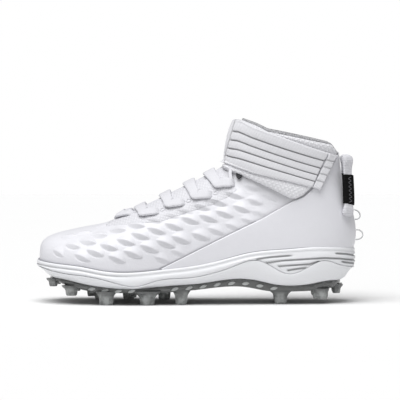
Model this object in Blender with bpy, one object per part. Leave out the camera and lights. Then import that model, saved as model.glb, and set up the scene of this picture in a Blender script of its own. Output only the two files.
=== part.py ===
"""A white high-cut american football cleat, left shoe, toe at -X, lateral side at -Y, standing on its studs.

Every shell of the upper comes from one function, the last: a closed sock of rings that stand upright in the
forefoot and lean back round the heel. A shell is the sock at one distance from the last minus the sock at
another, kept inside an outline drawn from the side. The sole takes its plan from the same last.
"""

import math
from collections import namedtuple

import bmesh
import bpy
import numpy as np
from mathutils import Vector

MM = 0.001

# Driving dimensions
LENGTH = 300 * MM          # toe to heel of the sole
COLLAR_HEIGHT = 172 * MM   # floor to the front of the collar
BALL_WIDTH = 104 * MM      # widest part of the sole
CLEARANCE = 0.3 * MM       # between neighbouring pieces
BAR_UNDER = 14 * MM        # how deep the throat is cut under the crest line
BAR_OVER = 5 * MM          # and how far above it

UPPER_WALL = 2.5 * MM
PANEL_THICKNESS = 1.2 * MM
EYESTAY_THICKNESS = 1.0 * MM
PAD_THICKNESS = 2.7 * MM
STRAP_THICKNESS = 3.0 * MM
STRAP_RIBS = 5
STRAP_GROOVE_DEPTH = 1.1 * MM
STRAP_GROOVE_WIDTH = 1.2 * MM
ANCHOR_WIDTH = 7 * MM
ANCHOR_THICKNESS = 2.4 * MM
TONGUE_THICKNESS = 3.0 * MM
THROAT_WIDTH = 32 * MM
THROAT_START = 7.0         # ring where the throat opens
THROAT_ROUNDING = 0.5      # rings over which it widens
THROAT_BLUNTNESS = 0.45    # share of its width that it starts with
TONGUE_START = 6.7         # ring where the tongue begins, ahead of the throat
TONGUE_OVERLAP = 9 * MM    # tongue hidden under each side of the throat
EYELET_DIAMETER = 4.5 * MM
LACE_WIDTH = 10 * MM
LACE_THICKNESS = 3.0 * MM
INSOLE_THICKNESS = 4.0 * MM
FOOTBED_RISE = 3.0 * MM    # midsole floor above the lowest line of the last

SOLE_FLARE = 2.8 * MM      # sole outside the last at the rim
RIM_GROOVE_DEPTH = 1.0 * MM
LIP_ROUNDING = 0.9 * MM    # of the sole's top edge
EDGE_STEP = 0.4 * MM       # between the two white layers along the wave line
CARRIER_WALL = 1.7 * MM
CARRIER_FLOOR = 2.0 * MM
PLATE_INSET = 6.5 * MM     # plate edge inside the rim of the last
STUD_SIDES = 8

TAB_WIDTH = 10.4 * MM
TAB_THICKNESS = 3.0 * MM
SLEEVE_LENGTH = 28 * MM
SLEEVE_WALL = 0.9 * MM
HEEL_LOOP_WIRE = 1.5 * MM

# Mesh fineness
POINTS_AROUND = 20
SOLE_STATIONS = 21

# The rings of the last. Each is a flat section through a point on the crest and one on the base line.
# x and the crest's sideways place are shares of LENGTH and BALL_WIDTH, z of COLLAR_HEIGHT, half widths of
# BALL_WIDTH. "widest" is the height of the widest point, as a share of the way from base to crest. The
# powers shape the section above and below it: 2 is an ellipse, 5 nearly a box.
Ring = namedtuple(
    "Ring", "crest_x crest_z base_x base_z lateral medial crest_y widest top_power base_power"
)
RINGS = [
    Ring(-0.4920, 0.262, -0.4920, 0.262, 0.000, 0.000, 0.058, 0.50, 2.10, 2.10),
    Ring(-0.4900, 0.300, -0.4913, 0.224, 0.096, 0.106, 0.058, 0.50, 2.10, 2.30),
    Ring(-0.4820, 0.334, -0.4850, 0.195, 0.192, 0.188, 0.058, 0.46, 2.20, 2.80),
    Ring(-0.4647, 0.357, -0.4667, 0.177, 0.279, 0.260, 0.053, 0.42, 2.30, 3.50),
    Ring(-0.4350, 0.378, -0.4383, 0.162, 0.361, 0.322, 0.048, 0.38, 2.30, 4.20),
    Ring(-0.3900, 0.397, -0.3950, 0.147, 0.442, 0.375, 0.043, 0.35, 2.30, 5.00),
    Ring(-0.3367, 0.416, -0.3400, 0.135, 0.490, 0.413, 0.034, 0.33, 2.25, 5.00),
    Ring(-0.2733, 0.441, -0.2767, 0.128, 0.514, 0.437, 0.024, 0.32, 2.20, 5.00),
    Ring(-0.2067, 0.497, -0.2117, 0.128, 0.514, 0.433, 0.014, 0.31, 2.10, 5.00),
    Ring(-0.1367, 0.558, -0.1433, 0.131, 0.495, 0.409, 0.010, 0.29, 2.05, 5.00),
    Ring(-0.0633, 0.622, -0.0667, 0.140, 0.466, 0.375, 0.005, 0.28, 2.00, 4.60),
    Ring(0.0067, 0.681, 0.0400, 0.154, 0.433, 0.356, 0.000, 0.28, 2.00, 4.20),
    Ring(0.0550, 0.724, 0.1733, 0.172, 0.404, 0.356, 0.000, 0.30, 2.00, 3.80),
    Ring(0.0820, 0.753, 0.3100, 0.180, 0.380, 0.361, 0.000, 0.34, 2.05, 3.50),
    Ring(0.0960, 0.779, 0.4133, 0.195, 0.370, 0.361, 0.000, 0.38, 2.10, 3.00),
    Ring(0.1020, 0.808, 0.4717, 0.256, 0.365, 0.361, 0.000, 0.41, 2.15, 2.60),
    Ring(0.1053, 0.840, 0.4933, 0.343, 0.365, 0.361, 0.000, 0.44, 2.20, 2.35),
    Ring(0.1083, 0.872, 0.4920, 0.430, 0.361, 0.356, 0.000, 0.46, 2.20, 2.25),
    Ring(0.1127, 0.907, 0.4803, 0.520, 0.353, 0.351, 0.000, 0.47, 2.20, 2.20),
    Ring(0.1187, 0.942, 0.4620, 0.612, 0.351, 0.351, 0.000, 0.48, 2.20, 2.20),
    Ring(0.1270, 0.977, 0.4487, 0.703, 0.356, 0.356, 0.000, 0.49, 2.20, 2.20),
    Ring(0.1370, 1.014, 0.4430, 0.791, 0.365, 0.365, 0.000, 0.50, 2.20, 2.20),
    Ring(0.1500, 1.070, 0.4430, 0.872, 0.380, 0.380, 0.000, 0.50, 2.20, 2.20),
]
RING_SCALE = (
    LENGTH, COLLAR_HEIGHT, LENGTH, COLLAR_HEIGHT, BALL_WIDTH, BALL_WIDTH, BALL_WIDTH, 1, 1, 1
)
# Ring numbers that a shell is built on: close together at the toe, wider apart at the collar.
RING_STEPS = [0.3, 0.65, 1, 1.5, 2] + list(range(3, 18)) + [19, 21, 22]
HEEL_RINGS = (13.0, 20.0)  # between these the base line climbs the back of the heel

# Lines drawn from the side, as shares of LENGTH and COLLAR_HEIGHT. Each runs from toe to heel.
SidePoint = namedtuple("SidePoint", "x z")
RIM_LINE = [  # where the upper meets the sole
    SidePoint(-0.500, 0.232), SidePoint(-0.437, 0.220), SidePoint(-0.353, 0.206), SidePoint(-0.297, 0.188),
    SidePoint(-0.243, 0.178), SidePoint(-0.177, 0.180), SidePoint(-0.108, 0.192), SidePoint(0.010, 0.216),
    SidePoint(0.100, 0.253), SidePoint(0.163, 0.280), SidePoint(0.273, 0.299), SidePoint(0.363, 0.310),
    SidePoint(0.500, 0.298),
]
WAVE_LINE = [  # top edge of the lower white layer
    SidePoint(-0.500, 0.206), SidePoint(-0.423, 0.173), SidePoint(-0.353, 0.160), SidePoint(-0.300, 0.145),
    SidePoint(-0.238, 0.116), SidePoint(-0.190, 0.103), SidePoint(-0.123, 0.133), SidePoint(-0.015, 0.150),
    SidePoint(0.049, 0.172), SidePoint(0.113, 0.208), SidePoint(0.165, 0.240), SidePoint(0.205, 0.233),
    SidePoint(0.245, 0.195), SidePoint(0.290, 0.167), SidePoint(0.343, 0.201), SidePoint(0.400, 0.238),
    SidePoint(0.440, 0.216), SidePoint(0.500, 0.196),
]
SOLE_LINE = [  # underside of the white sole
    SidePoint(-0.500, 0.210), SidePoint(-0.488, 0.185), SidePoint(-0.466, 0.154), SidePoint(-0.423, 0.138),
    SidePoint(-0.365, 0.120), SidePoint(-0.297, 0.100), SidePoint(-0.243, 0.091), SidePoint(-0.177, 0.090),
    SidePoint(-0.083, 0.106), SidePoint(0.010, 0.116), SidePoint(0.077, 0.134), SidePoint(0.133, 0.141),
    SidePoint(0.187, 0.132), SidePoint(0.243, 0.110), SidePoint(0.300, 0.103), SidePoint(0.363, 0.114),
    SidePoint(0.423, 0.128), SidePoint(0.463, 0.136), SidePoint(0.490, 0.184), SidePoint(0.500, 0.210),
]
PLATE_LINE = [  # underside of the grey plate between the studs
    SidePoint(-0.480, 0.150), SidePoint(-0.433, 0.117), SidePoint(-0.373, 0.088), SidePoint(-0.317, 0.071),
    SidePoint(-0.200, 0.067), SidePoint(-0.083, 0.070), SidePoint(0.010, 0.083), SidePoint(0.077, 0.096),
    SidePoint(0.153, 0.095), SidePoint(0.220, 0.073), SidePoint(0.293, 0.069), SidePoint(0.353, 0.072),
    SidePoint(0.417, 0.084), SidePoint(0.473, 0.112),
]
COLLAR_LINE = [  # rim of the collar
    SidePoint(0.060, 0.996), SidePoint(0.143, 0.997), SidePoint(0.189, 0.966), SidePoint(0.222, 0.937),
    SidePoint(0.300, 0.910), SidePoint(0.414, 0.866), SidePoint(0.449, 0.788), SidePoint(0.560, 0.760),
]
PANEL_EDGE = [  # top edge of the smooth quarter panel, ending at the collar
    SidePoint(-0.111, 0.198), SidePoint(-0.047, 0.253), SidePoint(0.017, 0.309), SidePoint(0.081, 0.364),
    SidePoint(0.145, 0.418), SidePoint(0.199, 0.462), SidePoint(0.252, 0.515), SidePoint(0.300, 0.564),
    SidePoint(0.331, 0.584), SidePoint(0.355, 0.620), SidePoint(0.376, 0.668), SidePoint(0.434, 0.786),
    SidePoint(0.440, 0.900),
]
PAD_FRONT_EDGE = [  # lower edge of the collar pad ahead of the panel
    SidePoint(0.070, 0.745), SidePoint(0.087, 0.724), SidePoint(0.144, 0.694), SidePoint(0.220, 0.636),
]

EYESTAY_OUTLINE = [  # strip that carries the eyelets: lower edge to the ankle, then back over the crest
    SidePoint(-0.273, 0.430), SidePoint(-0.190, 0.442), SidePoint(-0.110, 0.454), SidePoint(-0.030, 0.500),
    SidePoint(0.053, 0.544), SidePoint(0.140, 0.613), SidePoint(0.143, 0.663), SidePoint(0.080, 0.700),
    SidePoint(0.033, 0.814), SidePoint(-0.280, 0.669),
]

# The ankle strap, from its front corners to its rear ones.
STRAP_BOTTOM = (SidePoint(0.060, 0.758), SidePoint(0.129, 0.735), SidePoint(0.360, 0.631))
STRAP_TOP = (SidePoint(0.060, 0.992), SidePoint(0.171, 0.955), SidePoint(0.414, 0.820))
STRAP_SHARES = (0, 0.25, 1)    # how far along the strap those corners are
GROOVE_END = 0.97              # where the strap's grooves stop

# Each lace row crosses the throat as a band, folds at its lower front corner and runs back to its eyelet.
LaceRow = namedtuple("LaceRow", "band_x corner_x corner_z eyelet_x eyelet_z")
LACES = [
    LaceRow(-0.273, -0.237, 0.448, -0.191, 0.477),
    LaceRow(-0.190, -0.157, 0.453, -0.109, 0.487),
    LaceRow(-0.113, -0.077, 0.502, -0.030, 0.533),
    LaceRow(-0.040, 0.004, 0.549, 0.054, 0.577),
    LaceRow(0.020, 0.066, 0.612, 0.122, 0.640),
]

# Studs: place and tip height as shares of LENGTH, BALL_WIDTH and COLLAR_HEIGHT, tip and base lengths along
# the shoe as shares of LENGTH. A tip height of zero stands on the floor.
Stud = namedtuple("Stud", "x y tip_z tip_length base_length")
STUDS = [
    Stud(-0.447, -0.105, 0.090, 0.025, 0.043),
    Stud(-0.440, 0.190, 0.090, 0.025, 0.043),
    Stud(-0.388, -0.270, 0.046, 0.034, 0.060),
    Stud(-0.385, 0.325, 0.046, 0.034, 0.060),
    Stud(-0.279, -0.385, 0.000, 0.041, 0.063),
    Stud(-0.305, 0.350, 0.000, 0.036, 0.060),
    Stud(-0.152, -0.385, 0.000, 0.043, 0.090),
    Stud(-0.215, 0.345, 0.000, 0.036, 0.060),
    Stud(-0.047, -0.335, 0.000, 0.035, 0.057),
    Stud(-0.102, 0.300, 0.000, 0.036, 0.062),
    Stud(-0.330, 0.030, 0.030, 0.024, 0.045),
    Stud(-0.197, 0.000, 0.024, 0.018, 0.040),
    Stud(0.262, -0.235, 0.000, 0.037, 0.069),
    Stud(0.262, 0.215, 0.000, 0.037, 0.069),
    Stud(0.385, -0.225, 0.026, 0.044, 0.055),
    Stud(0.385, 0.205, 0.026, 0.044, 0.055),
    Stud(0.437, -0.085, 0.052, 0.024, 0.041),
    Stud(0.437, 0.075, 0.052, 0.024, 0.041),
]
STUD_ASPECT = 0.72         # width of a stud as a share of its length
STUD_WAIST = 0.55          # where the flare of a stud ends, as a share of its height

# Heel pull tabs, one on each side of the back seam: centre line from the lower seam to the collar.
TabPoint = namedtuple("TabPoint", "x y z")
TAB_LINE = [
    TabPoint(0.4665, 0.253, 0.478), TabPoint(0.4710, 0.250, 0.520), TabPoint(0.4730, 0.235, 0.560),
    TabPoint(0.4720, 0.204, 0.640), TabPoint(0.4700, 0.178, 0.720), TabPoint(0.4690, 0.160, 0.775),
    TabPoint(0.4650, 0.145, 0.800),
]
TAB_FACING = math.radians(52)  # from straight back toward the side
SLEEVE_MIDDLE = 0.50           # of the way along the tab

# Clear loops on the back seam: upper and lower foot and how far they stand out, shares of COLLAR_HEIGHT.
HeelLoop = namedtuple("HeelLoop", "name foot_low foot_high reach")
HEEL_LOOPS = [
    HeelLoop("heel_loop_upper", 0.452, 0.506, 0.034),
    HeelLoop("heel_loop_lower", 0.341, 0.395, 0.036),
]

WHITE = (0.86, 0.86, 0.88)
PAD_WHITE = (0.80, 0.80, 0.82)
STRAP_WHITE = (0.72, 0.72, 0.74)
SOLE_WHITE = (0.78, 0.79, 0.80)
PLATE_GREY = (0.20, 0.21, 0.20)
SLEEVE_BLACK = (0.015, 0.015, 0.015)
INSOLE_GREY = (0.30, 0.30, 0.31)


def collection(name, hidden=False):
    made = bpy.data.collections.new(name)
    bpy.context.scene.collection.children.link(made)
    made.hide_render = hidden
    return made


def clear_scene():
    for thing in list(bpy.data.objects):
        bpy.data.objects.remove(thing, do_unlink=True)


def material(name, colour, roughness=0.6, alpha=1.0):
    made = bpy.data.materials.new(name)
    made.use_nodes = True
    shader = made.node_tree.nodes["Principled BSDF"]
    shader.inputs["Base Color"].default_value = (*colour, 1)
    shader.inputs["Roughness"].default_value = roughness
    shader.inputs["Metallic"].default_value = 0
    shader.inputs["Alpha"].default_value = alpha
    return made


def solid_from(name, points, faces, home):
    """Mesh object of a closed solid; the faces are turned to point out."""
    mesh = bpy.data.meshes.new(name)
    mesh.from_pydata([tuple(p) for p in points], [], faces)
    work = bmesh.new()
    work.from_mesh(mesh)
    bmesh.ops.remove_doubles(work, verts=work.verts, dist=1e-7)
    bmesh.ops.recalc_face_normals(work, faces=work.faces)
    work.to_mesh(mesh)
    work.free()
    made = bpy.data.objects.new(name, mesh)
    home.objects.link(made)
    return made


def spline(knots, values, at):
    """Natural cubic spline through the values at the knots, read at the given places."""
    knots = np.asarray(knots, float)
    values = np.asarray(values, float)
    at = np.asarray(at, float)
    count = len(knots)
    step = np.diff(knots)
    slope = np.diff(values) / step
    system = np.eye(count)
    right = np.zeros(count)
    for i in range(1, count - 1):
        system[i, i - 1] = step[i - 1]
        system[i, i] = 2 * (step[i - 1] + step[i])
        system[i, i + 1] = step[i]
        right[i] = 6 * (slope[i] - slope[i - 1])
    bend = np.linalg.solve(system, right)
    i = np.clip(np.searchsorted(knots, at) - 1, 0, count - 2)
    ahead = knots[i + 1] - at
    behind = at - knots[i]
    width = step[i]
    return (
        (bend[i] * ahead ** 3 + bend[i + 1] * behind ** 3) / (6 * width)
        + (values[i] / width - bend[i] * width / 6) * ahead
        + (values[i + 1] / width - bend[i + 1] * width / 6) * behind
    )


def height_on(line, x):
    """Height of a side line at x, held level past its ends."""
    places = [p.x * LENGTH for p in line]
    return spline(places, [p.z * COLLAR_HEIGHT for p in line], np.clip(x, places[0], places[-1]))


def ring_at(number):
    """The ring at a row number, whole or between rows."""
    rows = np.array(RINGS) * np.array(RING_SCALE)
    return Ring(*(float(spline(range(len(rows)), rows[:, c], number)) for c in range(rows.shape[1])))


def half_width_share(ring, down):
    """Half width at a share of the way from crest to base, as a share of the ring's widest."""
    above = 1 - ring.widest
    if down <= above:
        reach, power = (above - down) / above, ring.top_power
    else:
        reach, power = (down - above) / ring.widest, ring.base_power
    return max(0.0, 1 - min(1.0, reach) ** power) ** (1 / power)


def ring_points(number, count):
    """Points round the ring, from the crest down the lateral side and up the medial side."""
    ring = ring_at(number)
    turn = np.linspace(0, math.pi / 2, 60)
    above = 1 - ring.widest
    down = np.concatenate([
        above * (1 - np.cos(turn) ** (2 / ring.top_power)),
        above + ring.widest * np.sin(turn[1:]) ** (2 / ring.base_power),
    ])
    out = np.concatenate([
        np.sin(turn) ** (2 / ring.top_power),
        np.clip(np.cos(turn[1:]), 0, 1) ** (2 / ring.base_power),
    ])
    height = math.hypot(ring.crest_x - ring.base_x, ring.crest_z - ring.base_z)
    sides = []
    for width, sign in ((ring.lateral, -1), (ring.medial, 1)):
        along = np.concatenate([[0], np.cumsum(np.hypot(np.diff(down) * height, np.diff(out) * width))])
        even = np.linspace(0, along[-1], count // 2 + 1)
        here_down = np.interp(even, along, down)
        here_out = np.interp(even, along, out)
        x = ring.crest_x + (ring.base_x - ring.crest_x) * here_down
        z = ring.crest_z + (ring.base_z - ring.crest_z) * here_down
        sides.append(np.stack([x, ring.crest_y + sign * width * here_out, z], axis=1))
    return np.concatenate([sides[0], sides[1][-2:0:-1]])


def last_grid():
    """Rings of points on the last, the outward direction at each point, and the facing of the top ring."""
    grid = np.array([ring_points(number, POINTS_AROUND) for number in RING_STEPS])
    along = np.gradient(grid, axis=0)
    around = np.roll(grid, -1, axis=1) - np.roll(grid, 1, axis=1)
    out = np.cross(around, along)
    quarter = POINTS_AROUND // 4
    top = np.cross(grid[-1, quarter] - grid[-1, 0], grid[-1, 2 * quarter] - grid[-1, quarter])
    top *= np.sign(top[2]) / np.linalg.norm(top)
    out[-1] -= np.outer(out[-1] @ top, top)
    out /= np.linalg.norm(out, axis=2, keepdims=True)
    return grid, out, top


GRID, OUTWARD, LAST_TOP = last_grid()
LAST_TOE = ring_points(0, POINTS_AROUND)[0]


def sock(name, distance, home):
    """Closed solid of the last, moved out by a distance, or in where it is negative.

    Its faces are triangles cut the same way at every distance, so that thin layers stay parallel.
    """
    rings = GRID + OUTWARD * distance
    lift = LAST_TOP * (2 * MM - distance)
    rings = np.concatenate([rings, (rings[-1] + lift)[None]])
    count = POINTS_AROUND
    points = [LAST_TOE + np.array([-distance, 0, 0])] + [p for ring in rings for p in ring]
    faces = [(0, 1 + i, 1 + (i + 1) % count) for i in range(count)]
    for r in range(len(rings) - 1):
        low, high = 1 + r * count, 1 + (r + 1) * count
        for i in range(count):
            j = (i + 1) % count
            faces += [(low + i, low + j, high + j), (low + i, high + j, high + i)]
    faces.append(tuple(1 + (len(rings) - 1) * count + i for i in range(count)))
    return solid_from(name, points, faces, home)


def prism(name, outline, home, half_width=0.09):
    """Solid of an outline seen from the side, as wide as the shoe and more."""
    count = len(outline)
    points = [(x, side, z) for side in (-half_width, half_width) for x, z in outline]
    faces = [tuple(range(count)), tuple(range(count, 2 * count))]
    faces += [(i, (i + 1) % count, count + (i + 1) % count, count + i) for i in range(count)]
    return guide(solid_from(name, points, faces, home))


def half_space(name, side, home, margin=2 * MM):
    """Block over one side of the shoe, a margin clear of the middle plane."""
    work = bmesh.new()
    bmesh.ops.create_cube(work, size=0.6)
    bmesh.ops.translate(work, vec=(0, side * (0.3 + margin), 0), verts=work.verts)
    mesh = bpy.data.meshes.new(name)
    work.to_mesh(mesh)
    work.free()
    made = bpy.data.objects.new(name, mesh)
    home.objects.link(made)
    return guide(made)


def on_side(points):
    """A side line's points in metres."""
    return [(p.x * LENGTH, p.z * COLLAR_HEIGHT) for p in points]


def boolean(target, tool, operation):
    cut = target.modifiers.new(operation.lower(), "BOOLEAN")
    cut.operation = operation
    cut.object = tool
    cut.solver = "EXACT"


def guide(thing):
    thing.hide_render = True
    thing.display_type = "WIRE"
    return thing


def shell(name, inner, outer, parts, cutters):
    """A layer of the upper between two distances from the last."""
    made = sock(name, outer, parts)
    boolean(made, guide(sock(name + "_inside", inner, cutters)), "DIFFERENCE")
    return made


def throat_bar(name, extra, first, home):
    """Bar along the crest line from a ring to the collar, rounded in front, wider than the throat by extra."""
    half_width = THROAT_WIDTH / 2 + extra
    rounded_to = first + THROAT_ROUNDING
    last = len(RINGS) - 1
    stops = list(np.linspace(first, rounded_to, 4)) + list(range(math.ceil(rounded_to + 0.2), last + 1))
    points, faces = [], []
    for n in stops:
        here, ahead, back = ring_at(n), ring_at(min(n + 0.1, last)), ring_at(n - 0.1)
        run = Vector((ahead.crest_x - back.crest_x, ahead.crest_z - back.crest_z)).normalized()
        share = 1.0
        if n < rounded_to:
            curve = math.sqrt(1 - (1 - (n - first) / THROAT_ROUNDING) ** 2)
            share = THROAT_BLUNTNESS + (1 - THROAT_BLUNTNESS) * curve
        for side, rise in ((-1, BAR_OVER), (1, BAR_OVER), (1, -BAR_UNDER), (-1, -BAR_UNDER)):
            points.append((
                here.crest_x - run[1] * rise,
                here.crest_y + side * half_width * share,
                here.crest_z + run[0] * rise,
            ))
    for s in range(len(stops) - 1):
        low, high = 4 * s, 4 * (s + 1)
        faces += [(low + i, low + (i + 1) % 4, high + (i + 1) % 4, high + i) for i in range(4)]
    faces += [(0, 1, 2, 3), tuple(4 * (len(stops) - 1) + i for i in range(4))]
    return guide(solid_from(name, points, faces, home))


def half_widths_at(x, z):
    """Lateral and medial edge of the last at a place seen from the side."""
    low, high = 0.05, len(RINGS) - 1.0
    for _ in range(40):
        middle = (low + high) / 2
        ring = ring_at(middle)
        span = Vector((ring.base_x - ring.crest_x, ring.base_z - ring.crest_z))
        if span[0] * (z - ring.crest_z) > span[1] * (x - ring.crest_x):
            low = middle
        else:
            high = middle
    ring = ring_at(low)
    span = Vector((ring.base_x - ring.crest_x, ring.base_z - ring.crest_z))
    down = Vector((x - ring.crest_x, z - ring.crest_z)).dot(span) / span.length_squared
    share = half_width_share(ring, min(1.0, max(0.0, down)))
    return ring.crest_y - ring.lateral * share, ring.crest_y + ring.medial * share


def base_x_at_height(z, low, high):
    """x of the base line between two ring numbers, where it passes a height."""
    falling = ring_at(low).base_z > ring_at(high).base_z
    for _ in range(40):
        middle = (low + high) / 2
        if (ring_at(middle).base_z > z) == falling:
            low = middle
        else:
            high = middle
    return ring_at(low).base_x


def sole_outline():
    """Plan of the last along the rim line, lateral side toe to heel and back on the medial side."""
    toe = base_x_at_height(float(height_on(RIM_LINE, -LENGTH / 2)), 0.02, 4.0)
    heel = base_x_at_height(float(height_on(RIM_LINE, LENGTH / 2)), *HEEL_RINGS)
    turn = np.linspace(0, math.pi, SOLE_STATIONS)
    x = (toe + heel) / 2 - (heel - toe) / 2 * np.cos(turn)
    edges = [half_widths_at(float(v), float(height_on(RIM_LINE, v))) for v in x]
    toe_y = ring_at(1).crest_y
    lateral = [(x[i], edges[i][0]) for i in range(1, SOLE_STATIONS - 1)]
    medial = [(x[i], edges[i][1]) for i in range(SOLE_STATIONS - 2, 0, -1)]
    return np.array([(toe, toe_y)] + lateral + [(heel, 0.0)] + medial)


OUTLINE = sole_outline()


def outline_normals():
    ahead = np.roll(OUTLINE, -1, axis=0) - np.roll(OUTLINE, 1, axis=0)
    out = np.stack([ahead[:, 1], -ahead[:, 0]], axis=1)
    return out / np.linalg.norm(out, axis=1, keepdims=True)


OUTLINE_OUT = outline_normals()


def sole_loop(outset, height, end_inset=0.0):
    """Loop round the sole on a height(x) line: the plan moved out or in, and further in at toe and heel.

    Past 2 mm inward the plan shrinks toward its middle line, so that its ends never fold over themselves.
    """
    near = max(outset, -2 * MM)
    deep = near - outset
    plan = OUTLINE + OUTLINE_OUT * near
    middle_x = (plan[:, 0].min() + plan[:, 0].max()) / 2
    middle_y = (plan[:, 1] + np.roll(plan[::-1, 1], 1)) / 2
    x = middle_x + (plan[:, 0] - middle_x) * (1 - (deep + end_inset) / (LENGTH / 2))
    y = middle_y + (plan[:, 1] - middle_y) * (1 - deep / (BALL_WIDTH / 2))
    return np.column_stack([x, y, height(x)])


def loft_loops(name, loops, home):
    """Solid through loops round the sole, closed across its first and last loop by strips."""
    count = len(OUTLINE)
    points = [p for loop in loops for p in loop]
    faces = []
    for k in range(len(loops) - 1):
        low, high = k * count, (k + 1) * count
        for i in range(count):
            j = (i + 1) % count
            faces += [(low + i, low + j, high + j), (low + i, high + j, high + i)]
    for start in (0, (len(loops) - 1) * count):
        faces.append((start, start + 1, start + count - 1))
        faces.append((start + count // 2 - 1, start + count // 2, start + count // 2 + 1))
        for i in range(1, count // 2 - 1):
            here, ahead = start + i, start + i + 1
            faces += [(here, ahead, start + count - i - 1), (here, start + count - i - 1, start + count - i)]
    return solid_from(name, points, faces, home)


def rim(x):
    return height_on(RIM_LINE, x)


def wave(x):
    return height_on(WAVE_LINE, x)


def sole_bottom(x):
    return height_on(SOLE_LINE, x)


def plate_bottom(x):
    return height_on(PLATE_LINE, x)


def footbed(x):
    """Height of the midsole's floor inside the cup, a little above the last's base line."""
    numbers = np.linspace(0.3, 14.0, 40)
    base = [(ring_at(n).base_x, ring_at(n).base_z) for n in numbers]
    return np.interp(x, [b[0] for b in base], [b[1] for b in base]) + FOOTBED_RISE


def above_footbed(name, rise, home, top=None):
    """Block over the footbed line, for the upper's open bottom, the cup and the insole."""
    x = np.linspace(-0.52 * LENGTH, 0.53 * LENGTH, 22)
    low = [(v, float(footbed(v)) + rise) for v in x]
    ceiling = [(v, float(footbed(v)) + top) for v in x[::-1]] if top else [(x[-1], 0.3), (x[0], 0.3)]
    return prism(name, low + ceiling, home)


def over_collar(name, home):
    """Everything above the collar rim."""
    outline = on_side(COLLAR_LINE)
    return prism(name, outline + [(outline[-1][0], 0.26), (outline[0][0] - 0.03, 0.26)], home)


def eyelet_pins(name, cutters):
    """Pins through every eyelet, both sides, each along the upper's outward direction."""
    work = bmesh.new()
    for row in LACES:
        x, z = row.eyelet_x * LENGTH, row.eyelet_z * COLLAR_HEIGHT
        step = 1 * MM
        for side in (0, 1):
            here = half_widths_at(x, z)[side]
            slope_x = (half_widths_at(x + step, z)[side] - half_widths_at(x - step, z)[side]) / (2 * step)
            slope_z = (half_widths_at(x, z + step)[side] - half_widths_at(x, z - step)[side]) / (2 * step)
            facing = Vector((slope_x, -1, slope_z)).normalized()
            made = bmesh.ops.create_cone(
                work, cap_ends=True, segments=6, radius1=EYELET_DIAMETER / 2, radius2=EYELET_DIAMETER / 2,
                depth=9 * MM,
            )
            turn = facing.to_track_quat("Z", "Y").to_matrix().to_4x4()
            bmesh.ops.transform(work, matrix=turn, verts=made["verts"])
            bmesh.ops.translate(work, vec=(x, here, z), verts=made["verts"])
    mesh = bpy.data.meshes.new(name)
    work.to_mesh(mesh)
    work.free()
    pins = bpy.data.objects.new(name, mesh)
    cutters.objects.link(pins)
    return guide(pins)


def make_upper(parts, cutters):
    upper = shell("upper", -UPPER_WALL, 0.0, parts, cutters)
    boolean(upper, over_collar("upper_rim_cut", cutters), "DIFFERENCE")
    boolean(upper, above_footbed("upper_bottom_cut", CLEARANCE, cutters), "INTERSECT")
    boolean(upper, throat_bar("throat_cut", 0.0, THROAT_START, cutters), "DIFFERENCE")
    boolean(upper, eyelet_pins("eyelet_pins", cutters), "DIFFERENCE")
    return upper


def make_tongue(parts, cutters):
    outer = -(UPPER_WALL + CLEARANCE)
    tongue = shell("tongue", outer - TONGUE_THICKNESS, outer, parts, cutters)
    boolean(tongue, throat_bar("tongue_bar", TONGUE_OVERLAP, TONGUE_START, cutters), "INTERSECT")
    boolean(tongue, over_collar("tongue_rim_cut", cutters), "DIFFERENCE")
    return tongue


def make_insole(parts, cutters):
    insole = sock("insole", -(UPPER_WALL + CLEARANCE), parts)
    slab = above_footbed("insole_slab", CLEARANCE, cutters, top=CLEARANCE + INSOLE_THICKNESS)
    boolean(insole, slab, "INTERSECT")
    return insole


def make_midsole(parts, cutters):
    """White cup: lip, groove, bulging side down to the wave line, and a block inside the lower layer."""
    flare = SOLE_FLARE
    ledge = 1.5 * CLEARANCE
    inside = flare - EDGE_STEP - CARRIER_WALL - 3 * CLEARANCE
    loops = [
        sole_loop(flare - LIP_ROUNDING, rim),
        sole_loop(flare, lambda x: rim(x) - 0.8 * MM),
        sole_loop(flare, lambda x: rim(x) - 2.2 * MM),
        sole_loop(flare - RIM_GROOVE_DEPTH, lambda x: rim(x) - 2.9 * MM),
        sole_loop(flare, lambda x: rim(x) - 3.6 * MM),
        sole_loop(flare, lambda x: 0.5 * (rim(x) - 3.6 * MM + wave(x) + ledge)),
        sole_loop(flare - EDGE_STEP, lambda x: wave(x) + ledge, 0.8 * MM),
        sole_loop(inside, lambda x: wave(x) + ledge, 1.4 * MM),
        sole_loop(-6.5 * MM, lambda x: sole_bottom(x) + CARRIER_FLOOR + ledge, 5.1 * MM),
    ]
    midsole = loft_loops("midsole", loops, parts)
    cup = guide(sock("midsole_cup", CLEARANCE, cutters))
    boolean(cup, above_footbed("cup_floor", 0.0, cutters), "INTERSECT")
    boolean(midsole, cup, "DIFFERENCE")
    return midsole


def make_carrier(parts):
    """Lower white layer: a thin tray whose top edge waves along the side."""
    flare = SOLE_FLARE
    loops = [
        sole_loop(flare - 7.0 * MM, sole_bottom, 5.5 * MM),
        sole_loop(flare - 4.6 * MM, lambda x: sole_bottom(x) + 1.0 * MM, 4.2 * MM),
        sole_loop(flare - 1.6 * MM, lambda x: 0.45 * wave(x) + 0.55 * sole_bottom(x), 2.2 * MM),
        sole_loop(flare, wave, 0.8 * MM),
        sole_loop(flare - EDGE_STEP - CARRIER_WALL, wave, 0.8 * MM),
        sole_loop(-5.5 * MM, lambda x: sole_bottom(x) + CARRIER_FLOOR, 4.5 * MM),
    ]
    return loft_loops("sole_carrier", loops, parts)


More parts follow.
